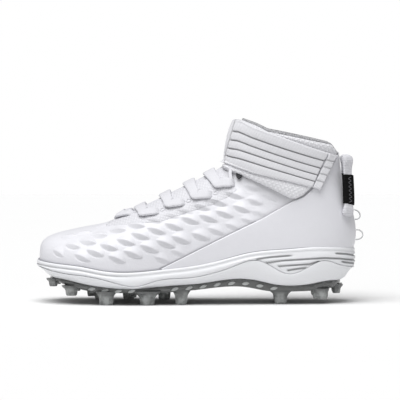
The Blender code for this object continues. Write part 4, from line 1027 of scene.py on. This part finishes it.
def make_midsole():
    """White foam sole: rounded lip, groove under it, swelling side and the moulded grooves of the heel."""
    loops = [
        sole_loop(-9.0, lambda x: footbed(x) - 0.05, 4.0),
        sole_loop(-4.0, lambda x: footbed(x) + 0.8, 1.0),
        sole_loop(-2.0, lambda x: np.maximum(rim(x) - 5, footbed(x) + 1.6)),
    ]
    loops += [sole_loop(out, raised(rim, up)) for out, up in LIP]
    painted_shades = [np.zeros(len(loops) * len(PLAN))]
    for out, up, deep in LIP_GROOVE:
        loop = sole_loop(SIDE_OUT, raised(rim, up))
        fade = toward_heel(loop[:, 0])
        loop[:, :2] -= PLAN_OUT * ((SIDE_OUT - out) * fade)[:, None]
        loops.append(loop)
        painted_shades.append(deep * fade)
    side_start = len(loops) * len(PLAN)
    for share in np.linspace(0, 1, SIDE_LOOPS + 1)[1:]:
        swell = 0.8 * max(math.sin(math.pi * share), 0) ** 0.8 - 0.5 * share ** 6
        side = between(raised(rim, SIDE_TOP), raised(wave, 0.35), share)
        loops.append(sole_loop(SIDE_OUT + 0.05 + swell, side, 0.8 * share))
    loops += [
        sole_loop(1.9, raised(wave, 0.3), 0.9), sole_loop(-0.3, raised(wave, 0.45), 1.4),
        sole_loop(-6.5, raised(sole_bottom, 2.45), 5.1),
    ]
    points, faces = loft(loops)
    # The heel grooves' depth also paints them darker, as painted shade.
    press = carve(points, side_start, 1.5, 1.25)
    press[:side_start] = np.concatenate(painted_shades)
    # Painted shade along the lower edge that tucks in over the carrier, strongest at the toe.
    press[-3 * len(PLAN):-2 * len(PLAN)] = 0.4 * toward_heel(points[:len(PLAN), 0])
    mesh_piece("midsole_foam", points, faces, ["midsole"], "midsole_white", ["midsole EVA foam"], merge=1e-3,
               painted_shade_and_tone=press)


def make_carrier():
    """Lower white layer whose top edge waves along the side."""
    foot, top = raised(sole_bottom, 1.0), raised(wave, -0.5)
    loops = [sole_loop(-4.2, sole_bottom, 5.5), sole_loop(-1.8, foot, 4.2)]
    for share in np.linspace(0, 1, 11)[1:]:
        out = -1.8 + (SOLE_FLARE + 2.0) * math.sin(share * math.pi / 2) ** 0.9
        loops.append(sole_loop(out, between(foot, top, share), 4.2 - 3.4 * share))
    loops += [
        sole_loop(SOLE_FLARE + 0.15, raised(wave, -0.15), 0.8), sole_loop(SOLE_FLARE - 0.3, wave, 0.8),
        sole_loop(SOLE_FLARE - 2.1, wave, 0.8), sole_loop(-5.5, raised(sole_bottom, 2.0), 4.5),
    ]
    mesh_piece("sole_carrier_tpu", *loft(loops), ["sole_carrier"], "carrier_white", ["carrier moulded TPU"],
               merge=1e-3)


# Studs: place along and across and height of the tip, then the length of the tip and of the base, as shares of
# the shoe's length, width and collar height.
STUDS = np.array([
    (-0.447, -0.105, 0.090, 0.025, 0.043), (-0.440, 0.190, 0.090, 0.025, 0.043),
    (-0.388, -0.270, 0.046, 0.034, 0.060), (-0.385, 0.325, 0.046, 0.034, 0.060),
    (-0.279, -0.385, 0.000, 0.041, 0.063), (-0.305, 0.350, 0.000, 0.036, 0.060),
    (-0.152, -0.385, 0.000, 0.043, 0.090), (-0.215, 0.345, 0.000, 0.036, 0.060),
    (-0.047, -0.335, 0.000, 0.035, 0.057), (-0.102, 0.300, 0.000, 0.036, 0.062),
    (-0.330, 0.030, 0.030, 0.024, 0.045), (-0.197, 0.000, 0.024, 0.018, 0.040),
    (0.262, -0.235, 0.000, 0.037, 0.069), (0.262, 0.215, 0.000, 0.037, 0.069),
    (0.385, -0.225, 0.026, 0.044, 0.055), (0.385, 0.205, 0.026, 0.044, 0.055),
    (0.437, -0.085, 0.052, 0.024, 0.041), (0.437, 0.075, 0.052, 0.024, 0.041),
]) * (LENGTH, BALL_WIDTH, COLLAR_HEIGHT, LENGTH / 2, LENGTH / 2)
STUD_ASPECT = 0.72


def stud_net(x, y, tip, end, base, around=64):
    """One stud: a flared foot, straight facets and a bevelled, slightly dished tip."""
    root = float(plate_bottom(np.array([x]))[0])
    turn = circle(around)[:, 0]
    facet = np.cos(math.pi / 8) / np.cos((turn + math.pi / 8) % (math.pi / 4) - math.pi / 8)
    levels = [(root + 1.5, base * 1.04), (root + 0.4, base)]
    for share in np.linspace(0.03, 0.55, 11):
        flare = (1 - share / 0.55) ** 2.4
        levels.append((root - (root - tip) * share, end * 1.12 + (base - end * 1.12) * flare))
    levels += [
        (tip + (root - tip) * 0.2, end * 1.05), (tip + 0.9, end), (tip + 0.25, end * 0.93), (tip, end * 0.82),
        (tip + 0.05, end * 0.62), (tip + 0.45, end * 0.5), (tip + 0.5, 0.05),
    ]
    rings = []
    for k, (z, radius) in enumerate(levels):
        reach = radius * (1 + (facet / facet.mean() - 1) * np.clip((k - 2) / 6, 0, 0.85))
        ring = x + reach * np.cos(turn), y + STUD_ASPECT * reach * np.sin(turn), np.full(around, z)
        rings.append(np.column_stack(ring))
    return np.concatenate(rings), tube_faces(len(levels), around)


# The plate's edge from top to bottom: how far out, how far down from the sole to the plate's underside, how far
# above that, and how far the ends are drawn in.
PLATE_EDGE = (
    (-1, 0, -0.3, 5.5), (0.2, 0, -0.5, 5.0), (0.4, 0.25, -0.3, 5.0), (0.3, 0.55, -0.3, 5.0),
    (-0.4, 0.85, 0, 5.3), (-1.6, 1, 0, 6.0), (-12, 1, 0, 12.0),
)


def make_outsole():
    """Smoky plate with its studs moulded on."""
    loops = [
        sole_loop(out - PLATE_INSET, raised(between(sole_bottom, plate_bottom, down), up), inset)
        for out, down, up, inset in PLATE_EDGE
    ]
    points, faces = joined([loft(loops)] + [stud_net(*stud) for stud in STUDS])
    # Darker tone over the plate body than on the studs below it.
    body = np.clip((points[:, 2] - plate_bottom(points[:, 0]) + 3) / 4, 0, 1)
    mesh_piece("studded_plate", points, faces, ["outsole"], "smoky_tpu", ["smoky clear TPU"], sharp=28,
               merge=1e-3, painted_shade_and_tone=body)


WINDOWS = np.concatenate([np.linspace(-97, -60, 4), np.linspace(-20, 72, 8)])
WINDOW_LONG, WINDOW_HIGH, WINDOW_TILT = 3.5, 1.5, 0.22
WINDOW_LEVELS = ((1.0, -0.4), (1.0, 0.35), (0.86, 0.75), (0.5, 0.9), (0.01, 0.95))  # size and lift of each ring


def make_plate_windows():
    """Pale lens-shaped facets in a row along the plate's edge, on both sides."""
    around = 28
    turn = circle(around)[:, 0]
    edge = sole_loop(0.45 - PLATE_INSET, raised(between(sole_bottom, plate_bottom, 0.55), -0.1), 5.0)
    half = len(edge) // 2
    parts = []
    for sign, arc in ((-1, edge[1:half]), (1, edge[:half:-1])):
        for x in WINDOWS:
            slope = (plate_bottom(x + 3) - plate_bottom(x - 3)) / 6 + WINDOW_TILT
            y, z = (np.interp(x, arc[:, 0], part) for part in arc.T[1:])
            lean = (np.interp(x + 4, arc[:, 0], arc[:, 1]) - np.interp(x - 4, arc[:, 0], arc[:, 1])) / 8
            rings = []
            for size, lift in WINDOW_LEVELS:
                u = WINDOW_LONG * size * np.cos(turn)
                v = WINDOW_HIGH * size * np.sin(turn) * np.abs(np.sin(turn)) ** 0.6
                rings.append(np.column_stack([x + u, y + u * lean + sign * lift, z + v + u * slope]))
            parts.append((np.concatenate(rings), tube_faces(len(rings), around)))
    mesh_piece("plate_windows", *joined(parts), (), "clear_tpu", ["window TPU"], merge=1e-3)


# The sockliner from its underside over its raised edge to its top: how far out, how far above the footbed, and
# how far the ends are drawn in.
INSOLE_EDGE = (
    (-9.0, 0.4, 4.0), (-3.4, 0.5, 1.2), (-3.0, 1.6, 0.8), (-3.0, 4.2, 0.8), (-3.6, 4.9, 1.2), (-5.0, 4.7, 2.2),
    (-9.0, 4.3, 5.0), (-20, 4.2, 14),
)


def make_insole():
    """Sockliner with a raised edge and a textile top."""
    loops = [sole_loop(out, raised(footbed, up), inset) for out, up, inset in INSOLE_EDGE]
    mesh_piece("insole_liner", *loft(loops), ["insole"], "insole_grey", ["insole grey textile"], merge=1e-3)


# Heel: pull tabs, sleeves and clear loops

TAB_LINE = np.array([  # middle of the medial pull from its foot to its head
    (0.4665, 0.253, 0.478), (0.4710, 0.250, 0.520), (0.4730, 0.235, 0.560), (0.4720, 0.204, 0.640),
    (0.4700, 0.178, 0.720), (0.4690, 0.160, 0.775), (0.4650, 0.145, 0.800),
]) * (LENGTH, BALL_WIDTH, COLLAR_HEIGHT)
TAB_FACING = math.radians(52)  # from straight back toward the side
SLEEVE_MIDDLE, SLEEVE_LENGTH = 106.5, 28.0
STITCH_REACH, STITCH_LIFT = 1.6, 2.55  # of the zig-zag, from the sleeve's middle line


def tab_path(sign, count):
    """Middle line of a heel pull, the direction it faces and the distance along it."""
    rows = TAB_LINE * (1, sign, 1)
    path = spline(np.arange(len(rows)), rows, np.linspace(0, len(rows) - 1, count))
    out = np.array([math.cos(TAB_FACING), sign * math.sin(TAB_FACING), 0.0])
    gone = np.concatenate([[0], np.cumsum(np.linalg.norm(np.diff(path, axis=0), axis=1))])
    return path, out, gone


def make_tab(sign, side_name):
    """White webbing loop from the heel to the collar, fuller at both ends."""
    path, out, gone = tab_path(sign, 70)
    share = gone / gone[-1]
    off = np.abs(share - 0.5)
    bulge = np.exp(-((share - 0.06) / 0.11) ** 2) + np.exp(-((share - 0.93) / 0.10) ** 2)
    wide = 9.6 + 2.2 * bulge - 3 * np.clip((off - 0.475) / 0.025, 0, 1)
    thick = 2.6 + 3.2 * bulge - 1.8 * np.clip((off - 0.47) / 0.03, 0, 1)
    rings, faces = ribbon(path + out * (0.5 * bulge)[:, None], out, wide, thick, 24, 3.0)
    mesh_piece("heel_pull_" + side_name, rings, faces, ["pull_tab_" + side_name], "tab_web",
               ["pull white webbing"])


def make_sleeve(sign, side_name):
    """Black woven sleeve round the middle of the heel pull, with grey zig-zag stitches."""
    path, out, gone = tab_path(sign, 200)
    at = np.interp(SLEEVE_MIDDLE, path[:, 2], gone) + SLEEVE_LENGTH * np.linspace(-0.5, 0.5, 60)
    line = np.column_stack([np.interp(at, gone, part) for part in path.T])
    share = np.linspace(0, 1, 60)
    roll = rounded(np.minimum(share, 1 - share) * SLEEVE_LENGTH, 0.8)
    rings, faces = ribbon(line, out, 11.6 + 0.8 * roll, 3.9 + 1.0 * roll, 28, 3.6)
    mesh_piece("heel_sleeve_" + side_name, rings, faces, ["pull_sleeve_" + side_name], "sleeve_black",
               ["sleeve black webbing"])
    run = np.gradient(line, axis=0)
    across = np.cross(out, run / np.linalg.norm(run, axis=1, keepdims=True)) * STITCH_REACH
    stitches = []
    for k in range(4, 56, 4):
        side = 1 if (k // 4) % 2 else -1
        low = line[k] + across[k] * side + out * STITCH_LIFT
        high = line[k + 3] - across[k] * side + out * STITCH_LIFT
        thread = low + (high - low) * np.linspace(0, 1, 6)[:, None]
        stitches.append(ribbon(thread, out, 0.7, 0.4, 8, 2.0))
    mesh_piece("sleeve_stitches_" + side_name, *joined(stitches), (), "tab_web", ["stitch grey thread"])


HEEL_LOOPS = (("upper", 77.7, 87.0, 5.85), ("lower", 58.7, 67.9, 6.2))  # lowest and highest point, and reach


def make_heel_loop(name, low, high, reach):
    """Clear bow standing out from the back seam."""
    turn = np.linspace(0, math.pi, 40)
    z = (low + high) / 2 - (high - low) / 2 * np.cos(turn)
    points = np.column_stack([heel_outline(z) + 1.8 + reach * np.sin(turn) ** 0.8, np.zeros(40), z])
    rings, faces = ribbon(points, np.array([0.0, 1.0, 0.0]), 1.3, 1.6, 16, 2.4)
    mesh_piece("heel_bow_" + name, rings, faces, ["heel_loop_" + name], "clear_tpu", ["clear TPU"])


# Finishes

def hex_colour(code):
    """Linear colour of an sRGB hex value."""
    parts = [int(code[i:i + 2], 16) / 255 for i in (1, 3, 5)]
    return (*(c / 12.92 if c <= 0.04045 else ((c + 0.055) / 1.055) ** 2.4 for c in parts), 1.0)


def add(tree, kind, sockets=None, **settings):
    """Adds a node with its settings; each socket gets a value or a link from another node's output."""
    made = tree.nodes.new(kind)
    for key, value in settings.items():
        setattr(made, key, value)
    for key, value in (sockets or {}).items():
        if isinstance(value, bpy.types.NodeSocket):
            tree.links.new(value, made.inputs[key])
        else:
            made.inputs[key].default_value = value
    return made


def start_material(name, roughness, **sockets):
    """New material with its shader's own sockets set; returns it, its node tree and its shader."""
    made = bpy.data.materials.new(name)
    made.use_nodes = True
    shader = made.node_tree.nodes["Principled BSDF"]
    shader.inputs["Roughness"].default_value = roughness
    for key, value in sockets.items():
        shader.inputs[key.replace("_", " ")].default_value = value
    return made, made.node_tree, shader


def side_vector(tree, pitch, turn=0.0, stretch=1.0):
    """Coordinates over the shoe's side, in pattern steps of a pitch in mm, turned and stretched."""
    place = add(tree, "ShaderNodeTexCoord").outputs["Object"]
    apart = add(tree, "ShaderNodeSeparateXYZ", {0: place})
    flat = add(tree, "ShaderNodeCombineXYZ", {0: apart.outputs[0], 1: apart.outputs[2], 2: 0.0})
    scale = 1 / (pitch * MM)
    return add(tree, "ShaderNodeMapping", {
        "Vector": flat.outputs[0], "Rotation": (0, 0, math.radians(turn)), "Scale": (scale, scale * stretch, 1),
    }).outputs[0]


def darker(colour, share):
    return (*(part * share for part in colour[:3]), 1.0)


def shade_and_bump(tree, shader, pattern, light, low, depth, painted_shade_and_tone=0.45):
    """Lets a 0 to 1 pattern drive the colour and a bump of a depth in mm.

    The colour goes from light down to a low share of it, and toward the painted_shade_and_tone share of it
    where the mesh marks painted shade in grooves, folds and under parts, and the plate body's darker tone.
    """
    colour = add(tree, "ShaderNodeMix", {0: pattern, 6: darker(light, low), 7: light}, data_type="RGBA")
    # groove reads the mesh's painted shade and tone value and mixes the colour toward dark.
    groove = add(tree, "ShaderNodeAttribute", attribute_name="painted_shade_and_tone").outputs["Fac"]
    dark = darker(light, painted_shade_and_tone)
    whole = add(tree, "ShaderNodeMix", {0: groove, 6: colour.outputs[2], 7: dark}, data_type="RGBA")
    tree.links.new(whole.outputs[2], shader.inputs["Base Color"])
    bump = add(tree, "ShaderNodeBump", {"Height": pattern, "Distance": depth * MM})
    tree.links.new(bump.outputs[0], shader.inputs["Normal"])


def grained(name, roughness, light, low, depth, size, detail=2.0, fibre=0.5, window=(0, 1), painted_shade_and_tone=0.45,
            **sockets):
    """Material whose colour and bump follow a cloudy noise with grains of a size in mm.

    Window is the part of the noise's range that is stretched to the full one.
    """
    made, tree, shader = start_material(name, roughness, **sockets)
    noise = add(tree, "ShaderNodeTexNoise", {
        "Vector": add(tree, "ShaderNodeTexCoord").outputs["Object"], "Scale": 1 / (size * MM), "Detail": detail,
        "Roughness": fibre,
    })
    seen = add(tree, "ShaderNodeMapRange", {0: noise.outputs[0], 1: window[0], 2: window[1]})
    shade_and_bump(tree, shader, seen.outputs[0], light, low, depth, painted_shade_and_tone)
    return made


def coated_knit():
    """Coated polyester knit, pressed into pods: satin white with the knit's grain just showing."""
    return grained("upper coated knit", 0.5, colours().upper, 0.955, 0.08, 1.3, 3.0, 0.6, (0.25, 0.75), 0.55,
                   Coat_Weight=0.08, Coat_Roughness=0.35)


def smooth_film():
    """Thermoplastic film pressed over foam: even, satin, almost without grain."""
    return grained("quarter film", 0.34, colours().upper, 0.97, 0.12, 6, Coat_Weight=0.12,
                   Coat_Roughness=0.28)


def embossed_film():
    """Film with small pressed diamonds, 2.4 mm apart, that carries the eyelets."""
    made, tree, shader = start_material("eyestay embossed film", 0.55)
    vector = side_vector(tree, 2.4, 45 - 32)
    cells = add(tree, "ShaderNodeTexVoronoi", {"Vector": vector, "Scale": 1.0, "Randomness": 0.0},
                voronoi_dimensions="2D", distance="MANHATTAN")
    flat = add(tree, "ShaderNodeMapRange", {0: cells.outputs["Distance"], 1: 0.15, 2: 0.7, 3: 1.0, 4: 0.0})
    # The film takes the upper's colour painted 6% darker, a shaded copy that holds down the light on its
    # up-facing surface.
    shade_and_bump(tree, shader, flat.outputs[0], darker(colours().upper, 0.94), 0.9, 0.25)
    return made


def dotted_knit():
    """Spacer knit with raised dots 3.1 mm apart; matte, with soft grey between the dots."""
    made, tree, shader = start_material("pad spacer knit", 0.8, Sheen_Weight=0.15, Sheen_Roughness=0.5)
    vector = side_vector(tree, 3.1, 45 + 18)
    cells = add(tree, "ShaderNodeTexVoronoi", {"Vector": vector, "Scale": 1.0, "Randomness": 0.0},
                voronoi_dimensions="2D")
    dots = add(tree, "ShaderNodeMapRange", {0: cells.outputs["Distance"], 1: 0.18, 2: 0.46, 3: 1.0, 4: 0.0},
               interpolation_type="SMOOTHSTEP")
    shade_and_bump(tree, shader, dots.outputs[0], colours().pads, 0.88, 0.4)
    return made


def ribbed_web(name, light, low, pitch, turn, depth=0.22, sheen=0.1, gloss=0.5):
    """Woven polyester webbing: fine ribs across the band, matte."""
    made, tree, shader = start_material(
        name, 0.78, Sheen_Weight=sheen, Sheen_Roughness=0.5, Specular_IOR_Level=gloss
    )
    vector = side_vector(tree, pitch, turn)
    ribs = add(tree, "ShaderNodeTexWave", {"Vector": vector, "Scale": 0.318, "Distortion": 0.4, "Detail": 1.0},
               bands_direction="X")
    shade_and_bump(tree, shader, ribs.outputs[1], light, low, depth, painted_shade_and_tone=0.28)
    return made


def lace_weave():
    """Braided flat-tubular polyester lace: slanted plaits 1.5 mm wide, soft and matte."""
    made, tree, shader = start_material("lace braid", 0.72, Sheen_Weight=0.15, Sheen_Roughness=0.5)
    one, two = (add(tree, "ShaderNodeTexWave", {
        "Vector": side_vector(tree, 1.5, turn), "Scale": 0.318, "Distortion": 0.3,
    }).outputs[1] for turn in (24, 92))
    plaits = add(tree, "ShaderNodeMath", {0: one, 1: two}, operation="MULTIPLY")
    shade_and_bump(tree, shader, plaits.outputs[0], colours().laces, 0.93, 0.1)
    return made


def tongue_mesh():
    """Open mesh over foam, cells 2.6 mm apart."""
    made, tree, shader = start_material("tongue spacer mesh", 0.8)
    place = add(tree, "ShaderNodeTexCoord").outputs["Object"]
    cells = add(tree, "ShaderNodeTexVoronoi", {"Vector": place, "Scale": 1 / (2.6 * MM), "Randomness": 0.3})
    holes = add(tree, "ShaderNodeMapRange", {0: cells.outputs["Distance"], 1: 0.1, 2: 0.45, 3: 1.0, 4: 0.0})
    shade_and_bump(tree, shader, holes.outputs[0], colours().upper, 0.87, 0.3)
    return made


def lining_knit():
    """Brushed lining inside the shoe: light grey and dull."""
    return grained("lining brushed knit", 0.9, colours().lining, 0.8, 0.3, 2, 4.0, Sheen_Weight=0.3,
                   Sheen_Roughness=0.6)


def rim_fleece():
    """Brushed edge of the lining at the collar: grey fibres with lighter tufts."""
    return grained("collar brushed edge", 0.95, colours().lining, 0.36, 0.7, 1.6, 5.0, 0.7, (0.35, 0.65),
                   Sheen_Weight=0.4, Sheen_Roughness=0.6)


def moulded_foam(name, roughness):
    """Compression-moulded EVA or TPU skin: satin, with a very fine sparked grain."""
    return grained(name, roughness, colours().sole, 0.965, 0.05, 0.9, painted_shade_and_tone=0.42, Coat_Weight=0.05,
                   Coat_Roughness=0.35)


def smoky_tpu():
    """Injection-moulded smoky thermoplastic urethane: glossy, a little see-through, with cloudy flow marks."""
    return grained("smoky clear TPU", 0.14, colours().plate, 0.5, 0.4, 6, 3.0, window=(0.38, 0.62), painted_shade_and_tone=0.3,
                   Transmission_Weight=0.4, IOR=1.5, Coat_Weight=0.3, Coat_Roughness=0.08)


def clear_tpu(name, code, roughness, clear):
    """Clear thermoplastic urethane: glossy, milky where it is thick."""
    return grained(name, roughness, hex_colour(code), 0.85, 0.05, 5, 1.0, Transmission_Weight=clear, IOR=1.5)


def plain_fill(name, code, low, roughness=0.9):
    """Matte fill or thread, mottled over 1.5 mm: painted shadow along a joint and in a hole, grey stitches."""
    return grained(name, roughness, hex_colour(code), low, 0.1, 1.5)


FINISHES = {
    "upper coated knit": coated_knit,
    "quarter film": smooth_film,
    "eyestay embossed film": embossed_film,
    "pad spacer knit": dotted_knit,
    "strap ribbed web": lambda: ribbed_web("strap ribbed web", colours().strap, 0.88, 1.3, -17),
    "anchor web": lambda: ribbed_web("anchor web", colours().pads, 0.88, 1.3, 65),
    "lace braid": lace_weave,
    "tongue spacer mesh": tongue_mesh,
    "lining brushed knit": lining_knit,
    "collar brushed edge": rim_fleece,
    "midsole EVA foam": lambda: moulded_foam("midsole EVA foam", 0.45),
    "carrier moulded TPU": lambda: moulded_foam("carrier moulded TPU", 0.34),
    "smoky clear TPU": smoky_tpu,
    "clear TPU": lambda: clear_tpu("clear TPU", "#F2F3F4", 0.12, 0.75),
    "window TPU": lambda: clear_tpu("window TPU", "#BFC2C1", 0.25, 0.2),
    "sleeve black webbing": lambda: ribbed_web(
        "sleeve black webbing", colours().sleeve, 0.25, 1.4, 90, 0.35, sheen=0.0, gloss=0.12
    ),
    "pull white webbing": lambda: ribbed_web("pull white webbing", colours().laces, 0.85, 1.5, 90, 0.3),
    "insole grey textile": lambda: ribbed_web("insole grey textile", colours().lining, 0.75, 2.0, 30),
    # Painted shadow line between the upper and the sole.
    "painted joint shadow": lambda: plain_fill("painted joint shadow", "#9C9CA2", 0.8),
    # Painted shadow inside the eyelet holes and the strap slots.
    "punched hole": lambda: plain_fill("punched hole", "#3A3A3E", 0.6),
    "stitch grey thread": lambda: plain_fill("stitch grey thread", "#5C5C60", 0.7),
}


def finish(name):
    """The finish of that name, made the first time it is asked for."""
    return bpy.data.materials.get(name) or FINISHES[name]()


# Stage

CAMERA_DISTANCE, CAMERA_HEIGHT = 2.8, 0.215
PIXEL = 0.94 * MM  # of the photograph, at the shoe
PHOTO_SIDE = 400
FLOOR_AT = (196.5, 302)  # pixel of the shoe's middle on the floor
SENSOR = 36


def soft_light(name, source, spread, strength):
    """Broad even light from a direction, soft over a spread in degrees."""
    lamp = bpy.data.lights.new(name, "SUN")
    lamp.angle = math.radians(spread)
    lamp.energy = strength
    made = bpy.data.objects.new(name, lamp)
    bpy.context.scene.collection.objects.link(made)
    made.location = source
    made.rotation_euler = (-Vector(source)).to_track_quat("-Z", "Y").to_euler()


def make_stage():
    """Pale floor that curves up behind, white surroundings, soft lights and the camera."""
    depth = np.linspace(-4, 2.5, 14)
    points = [(x, y, 0) for y in depth for x in np.linspace(-4, 4, 5)]
    mesh = bpy.data.meshes.new("floor")
    mesh.from_pydata(points, [], grid_faces(len(depth), 5))
    mesh.shade_smooth()
    floor = bpy.data.objects.new("floor", mesh)
    bpy.context.scene.collection.objects.link(floor)
    mesh.materials.append(grained("floor matte paint", 0.9, hex_colour("#E8E8E8"), 0.99, 0.01, 1000 / 3))
    world = bpy.data.worlds.new("white surroundings")
    world.use_nodes = True
    sky = world.node_tree.nodes["Background"]
    seen = add(world.node_tree, "ShaderNodeLightPath").outputs["Is Camera Ray"]
    strength = add(world.node_tree, "ShaderNodeMapRange", {0: seen, 3: 0.27, 4: 1.0})
    world.node_tree.links.new(strength.outputs[0], sky.inputs[1])
    sky.inputs[0].default_value = (1, 1, 1, 1)
    bpy.context.scene.world = world
    soft_light("overhead light", (-0.2, -0.4, 1.2), 50, 3.3)
    soft_light("front light", (-0.3, -1.0, 0.4), 50, 0.25)
    lens = bpy.data.cameras.new("camera")
    camera = bpy.data.objects.new("camera", lens)
    bpy.context.scene.collection.objects.link(camera)
    lens.sensor_width = lens.sensor_height = SENSOR
    lens.sensor_fit = "HORIZONTAL"
    middle = Vector((PHOTO_SIDE / 2 - FLOOR_AT[0], 0, FLOOR_AT[1] - PHOTO_SIDE / 2)) * PIXEL
    middle += Vector((MODEL_SHIFT[0], MODEL_SHIFT[1], 0)) * MM
    camera.location = (middle.x, middle.y - CAMERA_DISTANCE, CAMERA_HEIGHT)
    camera.rotation_euler = (middle - camera.location).to_track_quat("-Z", "Y").to_euler()
    lens.lens = SENSOR * (middle - camera.location).length / (PHOTO_SIDE * PIXEL)
    lens.clip_start, lens.clip_end = 0.05, 50
    bpy.context.scene.camera = camera
    bpy.context.scene.view_settings.view_transform = "Standard"


def length(name, description, default):
    """Size in metres whose default is given in mm."""
    return bpy.props.FloatProperty(
        name=name, description=description, default=default * MM, min=0.0, precision=4,
        subtype="DISTANCE", unit="LENGTH",
    )


def colour(name, description, default):
    """Colour whose default is given as an sRGB hex value."""
    return bpy.props.FloatVectorProperty(
        name=name, description=description, default=hex_colour(default), size=4, min=0.0, max=1.0,
        subtype="COLOR",
    )


class CleatSizes(bpy.types.PropertyGroup):
    """Sizes of the soft details; the shoe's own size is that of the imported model"""
    pod_rise: length("Pod relief", "How far the pods of the vamp stand out", 2.0)
    pad_puff: length("Collar padding", "How far the collar pad swells below the strap", 1.9)
    lace_width: length("Lace width", "Width of the flat lace", 9.6)
    lace_thickness: length("Lace thickness", "Thickness of the flat lace", 3.2)
    strap_ribs: bpy.props.IntProperty(
        name="Strap ribs", description="Ribs across the ankle strap", default=5, min=1,
    )


class CleatColours(bpy.types.PropertyGroup):
    """Colours of the cleat's pieces"""
    upper: colour("Upper", "Knit and films of the upper", "#D9D9DE")
    pads: colour("Pads", "Spacer knit of the collar pads", "#E0E0E4")
    strap: colour("Strap", "Webbing of the ankle strap", "#DFDFE3")
    laces: colour("Laces", "Laces and heel pulls", "#D3D3D8")
    lining: colour("Lining", "Lining, collar edge and insole", "#C9C9CD")
    sole: colour("Sole", "Foam and moulded layer of the sole", "#E1E2E5")
    plate: colour("Plate", "Smoky plate and studs", "#B6B9B8")
    sleeve: colour("Sleeve", "Woven sleeve of the heel pulls", "#0F0F10")


def sizes():
    return bpy.context.scene.cleat_sizes


def colours():
    return bpy.context.scene.cleat_colours


class CLEAT_OT_upper(bpy.types.Operator):
    """Builds the hollow quilted upper with its lining"""
    bl_idname = "cleat.upper"
    bl_label = "Upper"

    def execute(self, context):
        make_upper()
        return {"FINISHED"}


class CLEAT_OT_panel(bpy.types.Operator):
    """Builds the smooth film over the quarter and heel"""
    bl_idname = "cleat.panel"
    bl_label = "Quarter panel"

    def execute(self, context):
        make_panel()
        return {"FINISHED"}


class CLEAT_OT_collar(bpy.types.Operator):
    """Builds the padded knit of the collar and the brushed edge of the lining"""
    bl_idname = "cleat.collar"
    bl_label = "Collar pads"

    def execute(self, context):
        for side, side_name, _ in SIDES:
            make_pad(side, side_name)
        make_binding()
        return {"FINISHED"}


class CLEAT_OT_strap(bpy.types.Operator):
    """Builds the ribbed ankle strap and its sewn ends"""
    bl_idname = "cleat.strap"
    bl_label = "Ankle strap"

    def execute(self, context):
        make_strap()
        for side, side_name, _ in SIDES:
            make_anchor(side, side_name)
        return {"FINISHED"}


class CLEAT_OT_throat(bpy.types.Operator):
    """Builds the tongue, the eyestays and the eyelet rings"""
    bl_idname = "cleat.throat"
    bl_label = "Tongue and eyestays"

    def execute(self, context):
        make_tongue()
        for side, side_name, _ in SIDES:
            make_eyestay(side, side_name)
        make_eyelets()
        make_slots()
        return {"FINISHED"}


class CLEAT_OT_laces(bpy.types.Operator):
    """Builds the five rows of the flat lace"""
    bl_idname = "cleat.laces"
    bl_label = "Laces"

    def execute(self, context):
        for number, row in enumerate(LACE_ROWS, 1):
            make_lace(number, row)
        return {"FINISHED"}


class CLEAT_OT_sole(bpy.types.Operator):
    """Builds the white sole, its lower layer and the insole"""
    bl_idname = "cleat.sole"
    bl_label = "Sole"

    def execute(self, context):
        make_midsole()
        make_rim_joint()
        make_carrier()
        make_insole()
        return {"FINISHED"}


class CLEAT_OT_outsole(bpy.types.Operator):
    """Builds the smoky plate with its studs and pale windows"""
    bl_idname = "cleat.outsole"
    bl_label = "Studded plate"

    def execute(self, context):
        make_outsole()
        make_plate_windows()
        return {"FINISHED"}


class CLEAT_OT_heel(bpy.types.Operator):
    """Builds the heel pulls, their black sleeves and the clear bows"""
    bl_idname = "cleat.heel"
    bl_label = "Heel pulls"

    def execute(self, context):
        for _, side_name, sign in SIDES:
            make_tab(sign, side_name)
            make_sleeve(sign, side_name)
        for loop in HEEL_LOOPS:
            make_heel_loop(*loop)
        return {"FINISHED"}


class CLEAT_OT_stage(bpy.types.Operator):
    """Builds the floor, the lights and the camera"""
    bl_idname = "cleat.stage"
    bl_label = "Stage"

    def execute(self, context):
        make_stage()
        return {"FINISHED"}


PIECES = (
    CLEAT_OT_upper, CLEAT_OT_panel, CLEAT_OT_collar, CLEAT_OT_strap, CLEAT_OT_throat, CLEAT_OT_laces,
    CLEAT_OT_sole, CLEAT_OT_outsole, CLEAT_OT_heel, CLEAT_OT_stage,
)


class CLEAT_PT_panel(bpy.types.Panel):
    """Lists the pieces of the cleat"""
    bl_idname = "CLEAT_PT_panel"
    bl_label = "Football cleat"
    bl_space_type = "VIEW_3D"
    bl_region_type = "UI"
    bl_category = "Cleat"

    def draw(self, context):
        for group in (context.scene.cleat_sizes, context.scene.cleat_colours):
            for name in group.__annotations__:
                self.layout.prop(group, name)
        for piece in PIECES:
            self.layout.operator(piece.bl_idname)


def register():
    for made in (CleatSizes, CleatColours, *PIECES, CLEAT_PT_panel):
        bpy.utils.register_class(made)
    bpy.types.Scene.cleat_sizes = bpy.props.PointerProperty(type=CleatSizes)
    bpy.types.Scene.cleat_colours = bpy.props.PointerProperty(type=CleatColours)


def unregister():
    del bpy.types.Scene.cleat_colours
    del bpy.types.Scene.cleat_sizes
    for made in (CLEAT_PT_panel, *reversed(PIECES), CleatColours, CleatSizes):
        bpy.utils.unregister_class(made)


def main():
    register()
    for piece in PIECES:
        group, name = piece.bl_idname.split(".")
        getattr(getattr(bpy.ops, group), name)()


if __name__ == "__main__":
    main()
